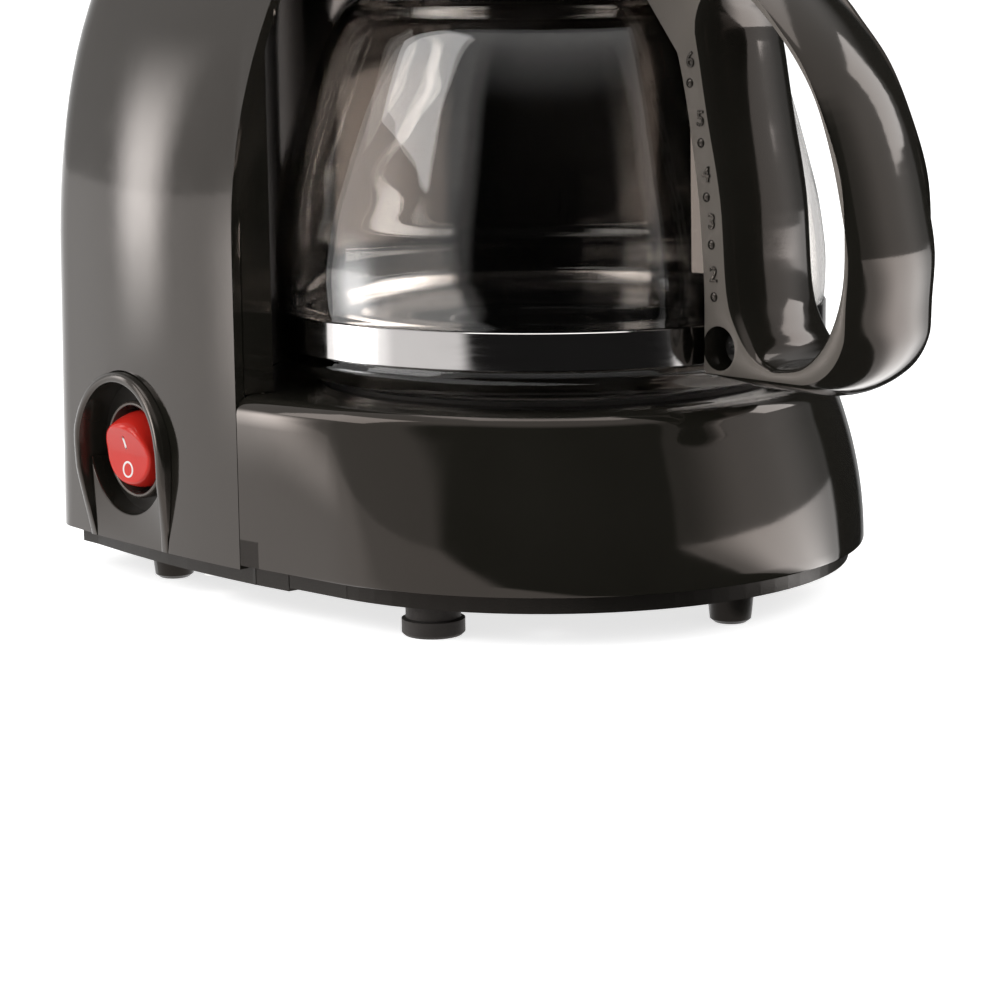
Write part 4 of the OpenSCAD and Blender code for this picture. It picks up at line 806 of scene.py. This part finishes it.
makeArchRim()
makeTongue()
makeWellFloor()
makeBezel()


rocker = {"radius": 9.1, "tilt": radians(8.0), "pivotIn": 3.2, "soft": 0.8, "endRadius": 9.8, "steps": 96,
          "skirt": (-2.4, 0.0, 1.4, 2.6, 3.5, 4.2), "middle": 4.9, "dish": 0.62}
rocker["pivot"] = switch["bezelHigh"] - switch["wellDeep"] - rocker["pivotIn"]


def rockerTop(up):   # the face is hollow between its two ends
    return rocker["middle"] + rocker["dish"] * (abs(up) / 5) ** 1.35


def onRocker(up, back, high):   # a place on the tilted rocker, whose ends are round about the pivot
    tilt = rocker["tilt"]
    up *= sqrt(1 - (max(high, 0) / rocker["endRadius"]) ** 2)
    out = rocker["pivot"] + high * cos(tilt) + up * sin(tilt)
    return onSwitch(up * cos(tilt) - high * sin(tilt), back, out)


def makeRocker():
    steps, radius, soft = rocker["steps"], rocker["radius"], rocker["soft"]
    points = [onRocker(u, b, high) for high in rocker["skirt"] for u, b in circle(radius, steps)]
    for e in quarter(5):
        points += [onRocker(u, b, rockerTop(u) - soft * (1 - sin(e)))
                   for u, b in circle(radius - soft * (1 - cos(e)), steps)]
    for share in (0.86, 0.76, 0.66, 0.55, 0.44, 0.33, 0.22, 0.11, 0.02):
        points += [onRocker(u, b, rockerTop(u)) for u, b in circle(radius * share, steps)]
    lastRing = len(points) - steps
    faces = gridFaces(len(points) // steps, steps, True)
    faces += [tuple(lastRing + k for k in range(steps)), tuple(steps - 1 - k for k in range(steps))]
    key = makePiece("redRocker", points, faces, "rockerRed")
    facingOut(key)
    settle(key, "rocker", 45, ["rocker"])


def rockerStroke(name, path, width, closed):   # a printed line that follows the rocker's face
    points = []
    for i, (u, b) in enumerate(path):
        along = Vector(path[(i + 1) % len(path)]) - Vector(path[i - 1])
        across = Vector((along.y, -along.x)).normalized() * width / 2
        for side, lift in ((-1, -0.05), (-0.9, 0.06), (0.9, 0.06), (1, -0.05)):
            up = u + across.x * side
            points.append(onRocker(up, b + across.y * side, rockerTop(up) + lift))
    stroke = makePiece(name, points, gridFaces(len(path), 4, False, closed), "markWhite")
    turnTowards(stroke, 0, -1)
    settle(stroke, "rocker", 60)


makeRocker()
rockerStroke("markOn", [(1.4 + 3.9 * k / 6, 0.0) for k in range(7)], 0.8, False)
rockerStroke("markOff", [(-4.6 + 2.2 * u, 1.9 * b) for u, b in circle(1, 40)], 0.62, True)
print("switch made")


lid = {"low": 200.4, "high": 32.0, "wall": 2.4, "power": 2.2, "flatTop": 0.9995,
       "half": casing["halfWidth"] - leanAt(casing["rim"]), "back": backAt(casing["rim"])}


def lidRow(share, drop, inset):   # one level of the dome, round in front and square behind
    t = min(1 - (1 - share) ** 2.0, lid["flatTop"])
    shrink = sqrt(1 - t ** lid["power"])
    z = lid["low"] + t * (lid["high"] - inset) + drop
    half, back = (lid["half"] - inset) * shrink, (lid["back"] - inset) * shrink
    corner = max(0.2, (casing["corner"] - inset) * shrink)
    row = [(half * sin(a), -half * cos(a), z) for a in quarter(36)]
    row += [(half, (back - corner) * k / 12, z) for k in range(1, 12)]
    row += [(half - corner + corner * cos(a), back - corner + corner * sin(a), z) for a in quarter(12)]
    row += [((half - corner) * (1 - k / 8), back, z) for k in range(1, 9)]
    return row + [(-x, y, level) for x, y, level in reversed(row[1:-1])]


def makeLid():
    rows = [lidRow(k / 14, 0.3 * (k == 0), lid["wall"]) for k in range(14, -1, -1)]   # inside, from the top
    rows += [lidRow(0, 0.0, lid["wall"] - 0.3), lidRow(0, 0.0, 0.5), lidRow(0, 0.15, 0.15)]
    rows += [lidRow(k / 26, 0.5 * (k == 0), 0.0) for k in range(27)]
    size = len(rows[0])
    points = [point for row in rows for point in row]
    faces = gridFaces(len(rows), size, True) + endFaces(size, len(points))
    y, z = hinge["y"], hinge["z"]
    knuckle = [(y + back, z + up) for back, up in circle(hinge["knuckle"], 24)]
    arm = [(y - 7, 201.8), (y + 0.3, 201.2), (y + 0.3, 205.1), (y - 7, 205.1)]
    for side in (-1, 1):
        for outline in (knuckle, arm):
            addPlate(points, faces, side * hinge["x"], hinge["lidLug"], outline)
    dome = makePiece("domeLid", points, faces, "glossBlack")
    facingOut(dome)
    settle(dome, "lid", 42, ["top_lid"])


makeLid()
print("lid made")


view = {"position": (-459.8, -526.3, 148.7), "azimuth": 39.92, "pitch": 10.44, "roll": -0.69, "lens": 108.95,
        "sensor": 36}


def placeCamera():
    azimuth, pitch, roll = radians(view["azimuth"]), radians(view["pitch"]), radians(view["roll"])
    forward = Vector((sin(azimuth) * cos(pitch), cos(azimuth) * cos(pitch), -sin(pitch)))
    level = Vector((cos(azimuth), -sin(azimuth), 0))
    upright = level.cross(forward)
    across = level * cos(roll) + upright * sin(roll)
    above = upright * cos(roll) - level * sin(roll)
    camera = bpy.data.cameras.new("camera")
    camera.lens = view["lens"]
    camera.sensor_width = view["sensor"]
    camera.clip_start = 0.01
    camera.clip_end = 60
    eye = bpy.data.objects.new("camera", camera)
    scene.collection.objects.link(eye)
    stand = Matrix((across, above, -forward)).transposed().to_4x4()
    stand.translation = Vector(view["position"]) * unit
    eye.matrix_world = stand
    scene.camera = eye


placeCamera()
scene.view_settings.view_transform = "Standard"


studio = {"floorReach": 14.0, "floorColour": (0.8, 0.8, 0.8), "floorGlow": 0.72, "floorClear": 0.9,
          "fill": 0.7, "darkSide": 0.015, "rightDim": 0.3, "leftEdge": 0.65, "softboxEdge": 1.4,
          "softboxCore": 4.1, "wallCore": 0.85, "leftFloor": 1.75, "leftWall": 1.0, "ceiling": 0.9,
          "ceilingFrom": 0.5, "ceilingTo": 0.8, "middle": (0.03, -0.06)}
# where each part of the surroundings starts and ends and how soft its edge is, 0 is +Y and -90 is -X
bearings = {"leftEdge": (-99, -68, 3), "left": (-68, 40, 3), "right": (40, 62, 4), "softbox": (96, 176, 1.5),
            "softboxCore": (112, 158, 14), "clear": (-105, 179, 3)}
white = (1, 1, 1, 1)


def smoothStep(make, value, low, high, first=0.0, last=1.0):
    return make.node("ShaderNodeMapRange", {"interpolation_type": "SMOOTHSTEP"}, {
        "Value": value, "From Min": low, "From Max": high, "To Min": first, "To Max": last})


def surround(make, east, north, left, core):   # what shiny and what clear pieces see at each bearing
    compass = make.node("ShaderNodeMath", {"operation": "ARCTAN2"}, {0: east, 1: north}) * (180 / pi)

    def sector(name):
        low, high, soft = bearings[name]
        enter, leave = [smoothStep(make, compass, at - soft, at + soft) for at in (low, high)]
        return enter - leave

    leftSide = (sector("leftEdge") * studio["leftEdge"] + sector("left")) * left
    edge = studio["softboxEdge"] * core / studio["softboxCore"]
    softbox = sector("softbox") * (sector("softboxCore") * core + edge)
    return leftSide + sector("right") * studio["rightDim"] + softbox + studio["darkSide"], sector("clear")


def glowing(make, strength):
    return make.node("ShaderNodeEmission", values={"Color": white, "Strength": strength})


def kindsOfRay(make):
    rays = make.node("ShaderNodeLightPath", output="Is Camera Ray")
    return rays, rays.output("Is Transmission Ray"), rays.output("Is Glossy Ray")


def makeFloor():
    reach = studio["floorReach"]
    mesh = bpy.data.meshes.new("floor")
    mesh.from_pydata([(-reach, -reach, 0), (reach, -reach, 0), (reach, reach, 0), (-reach, reach, 0)], [],
                     [(0, 1, 2, 3)])
    floor = bpy.data.objects.new("floor", mesh)
    scene.collection.objects.link(floor)
    make = Finish(bpy.data.materials.new("floorWhite"))
    place = make.node("ShaderNodeNewGeometry", output="Position")
    spot = make.node("ShaderNodeSeparateXYZ", values={0: place})
    east, north = [spot.output(k) - studio["middle"][k] for k in range(2)]   # seen from the drum's front
    seen, through = surround(make, east, north, studio["leftFloor"], studio["softboxCore"])
    toCamera, toGlass, toGloss = kindsOfRay(make)
    plain = make.node("ShaderNodeBsdfDiffuse", values={"Color": (*studio["floorColour"], 1)})
    glow = glowing(make, toCamera * studio["floorGlow"])
    lit = make.node("ShaderNodeAddShader", values={0: plain, 1: glow})
    mirrored = glowing(make, toGloss * seen + toGlass * through * studio["floorClear"])
    share = toGloss * (1 - toGlass) + toGlass
    both = make.node("ShaderNodeMixShader", values={0: share, 1: lit, 2: mirrored})
    mesh.materials.append(make.finishWith(both))


def makeWorld():
    world = bpy.data.worlds.new("studio")
    scene.world = world
    make = Finish(world, "ShaderNodeOutputWorld")
    east = make.node("ShaderNodeSeparateXYZ", values={0: make.node("ShaderNodeTexCoord", output="Generated")})
    seen, through = surround(make, east, east.output(1), studio["leftWall"], studio["wallCore"])
    overhead = smoothStep(make, east.output(2), studio["ceilingFrom"], studio["ceilingTo"])
    toCamera, toGlass, toGloss = kindsOfRay(make)
    shiny = seen * (1 - overhead) + overhead * studio["ceiling"]
    clear = through * (1 - overhead) + overhead
    rest = toGloss * shiny + (1 - toGloss) * studio["fill"]
    strength = toCamera + (1 - toCamera) * (toGlass * clear + (1 - toGlass) * rest)
    make.finishWith(make.node("ShaderNodeBackground", values={"Color": white, "Strength": strength}))


def softLamp(name, position, width, height, power):   # a camera-blind lamp that aims at the object
    lamp = bpy.data.lights.new(name, "AREA")
    lamp.shape = "RECTANGLE"
    lamp.size = width
    lamp.size_y = height
    lamp.energy = power
    obj = bpy.data.objects.new(name, lamp)
    scene.collection.objects.link(obj)
    obj.location = position
    obj.rotation_euler = (Vector((0, 0, 0.1)) - Vector(position)).to_track_quat("-Z", "Y").to_euler()
    obj.visible_camera = False


def softCard(name, centre, bearing, halfWidth, halfHeight, peak):
    # a glowing card that only shiny pieces see, brightest in its middle
    mesh = bpy.data.meshes.new(name)
    wide, high = halfWidth * unit, halfHeight * unit
    mesh.from_pydata([(-wide, 0, -high), (wide, 0, -high), (wide, 0, high), (-wide, 0, high)], [],
                     [(0, 1, 2, 3)])
    card = bpy.data.objects.new(name, mesh)
    scene.collection.objects.link(card)
    card.location = [c * unit for c in centre]
    card.rotation_euler = (0, 0, -radians(bearing))
    make = Finish(bpy.data.materials.new(name))
    spot = make.node("ShaderNodeSeparateXYZ", values={0: make.node("ShaderNodeTexCoord", output="Object")})
    glow = peak
    for axis, half in ((0, wide), (2, high)):
        away = make.node("ShaderNodeMath", {"operation": "ABSOLUTE"}, {0: spot.output(axis)})
        glow = smoothStep(make, away, 0.1 * half, half, 1.0, 0.0) * glow
    clear = make.node("ShaderNodeBsdfTransparent")
    both = make.node("ShaderNodeAddShader", values={0: clear, 1: glowing(make, glow)})
    mesh.materials.append(make.finishWith(both))
    card.visible_camera = False
    card.visible_diffuse = False
    card.visible_shadow = False
    card.visible_transmission = False


makeFloor()
makeWorld()
softLamp("keyLamp", (-1.3, 0.5, 1.1), 0.9, 0.9, 9)
softLamp("sideLamp", (1.2, -0.6, 0.9), 0.6, 0.9, 7)
softLamp("topLamp", (0.1, 0.1, 1.7), 1.2, 1.2, 10)
softCard("towerCard", (-159, 181, 98), -33.5, 20, 68, 6.5)   # the highlight down the tower's side
softCard("drumCard", (-184, 93, 60), -50, 44, 52, 10.5)      # the highlight on the drum
print("studio made")
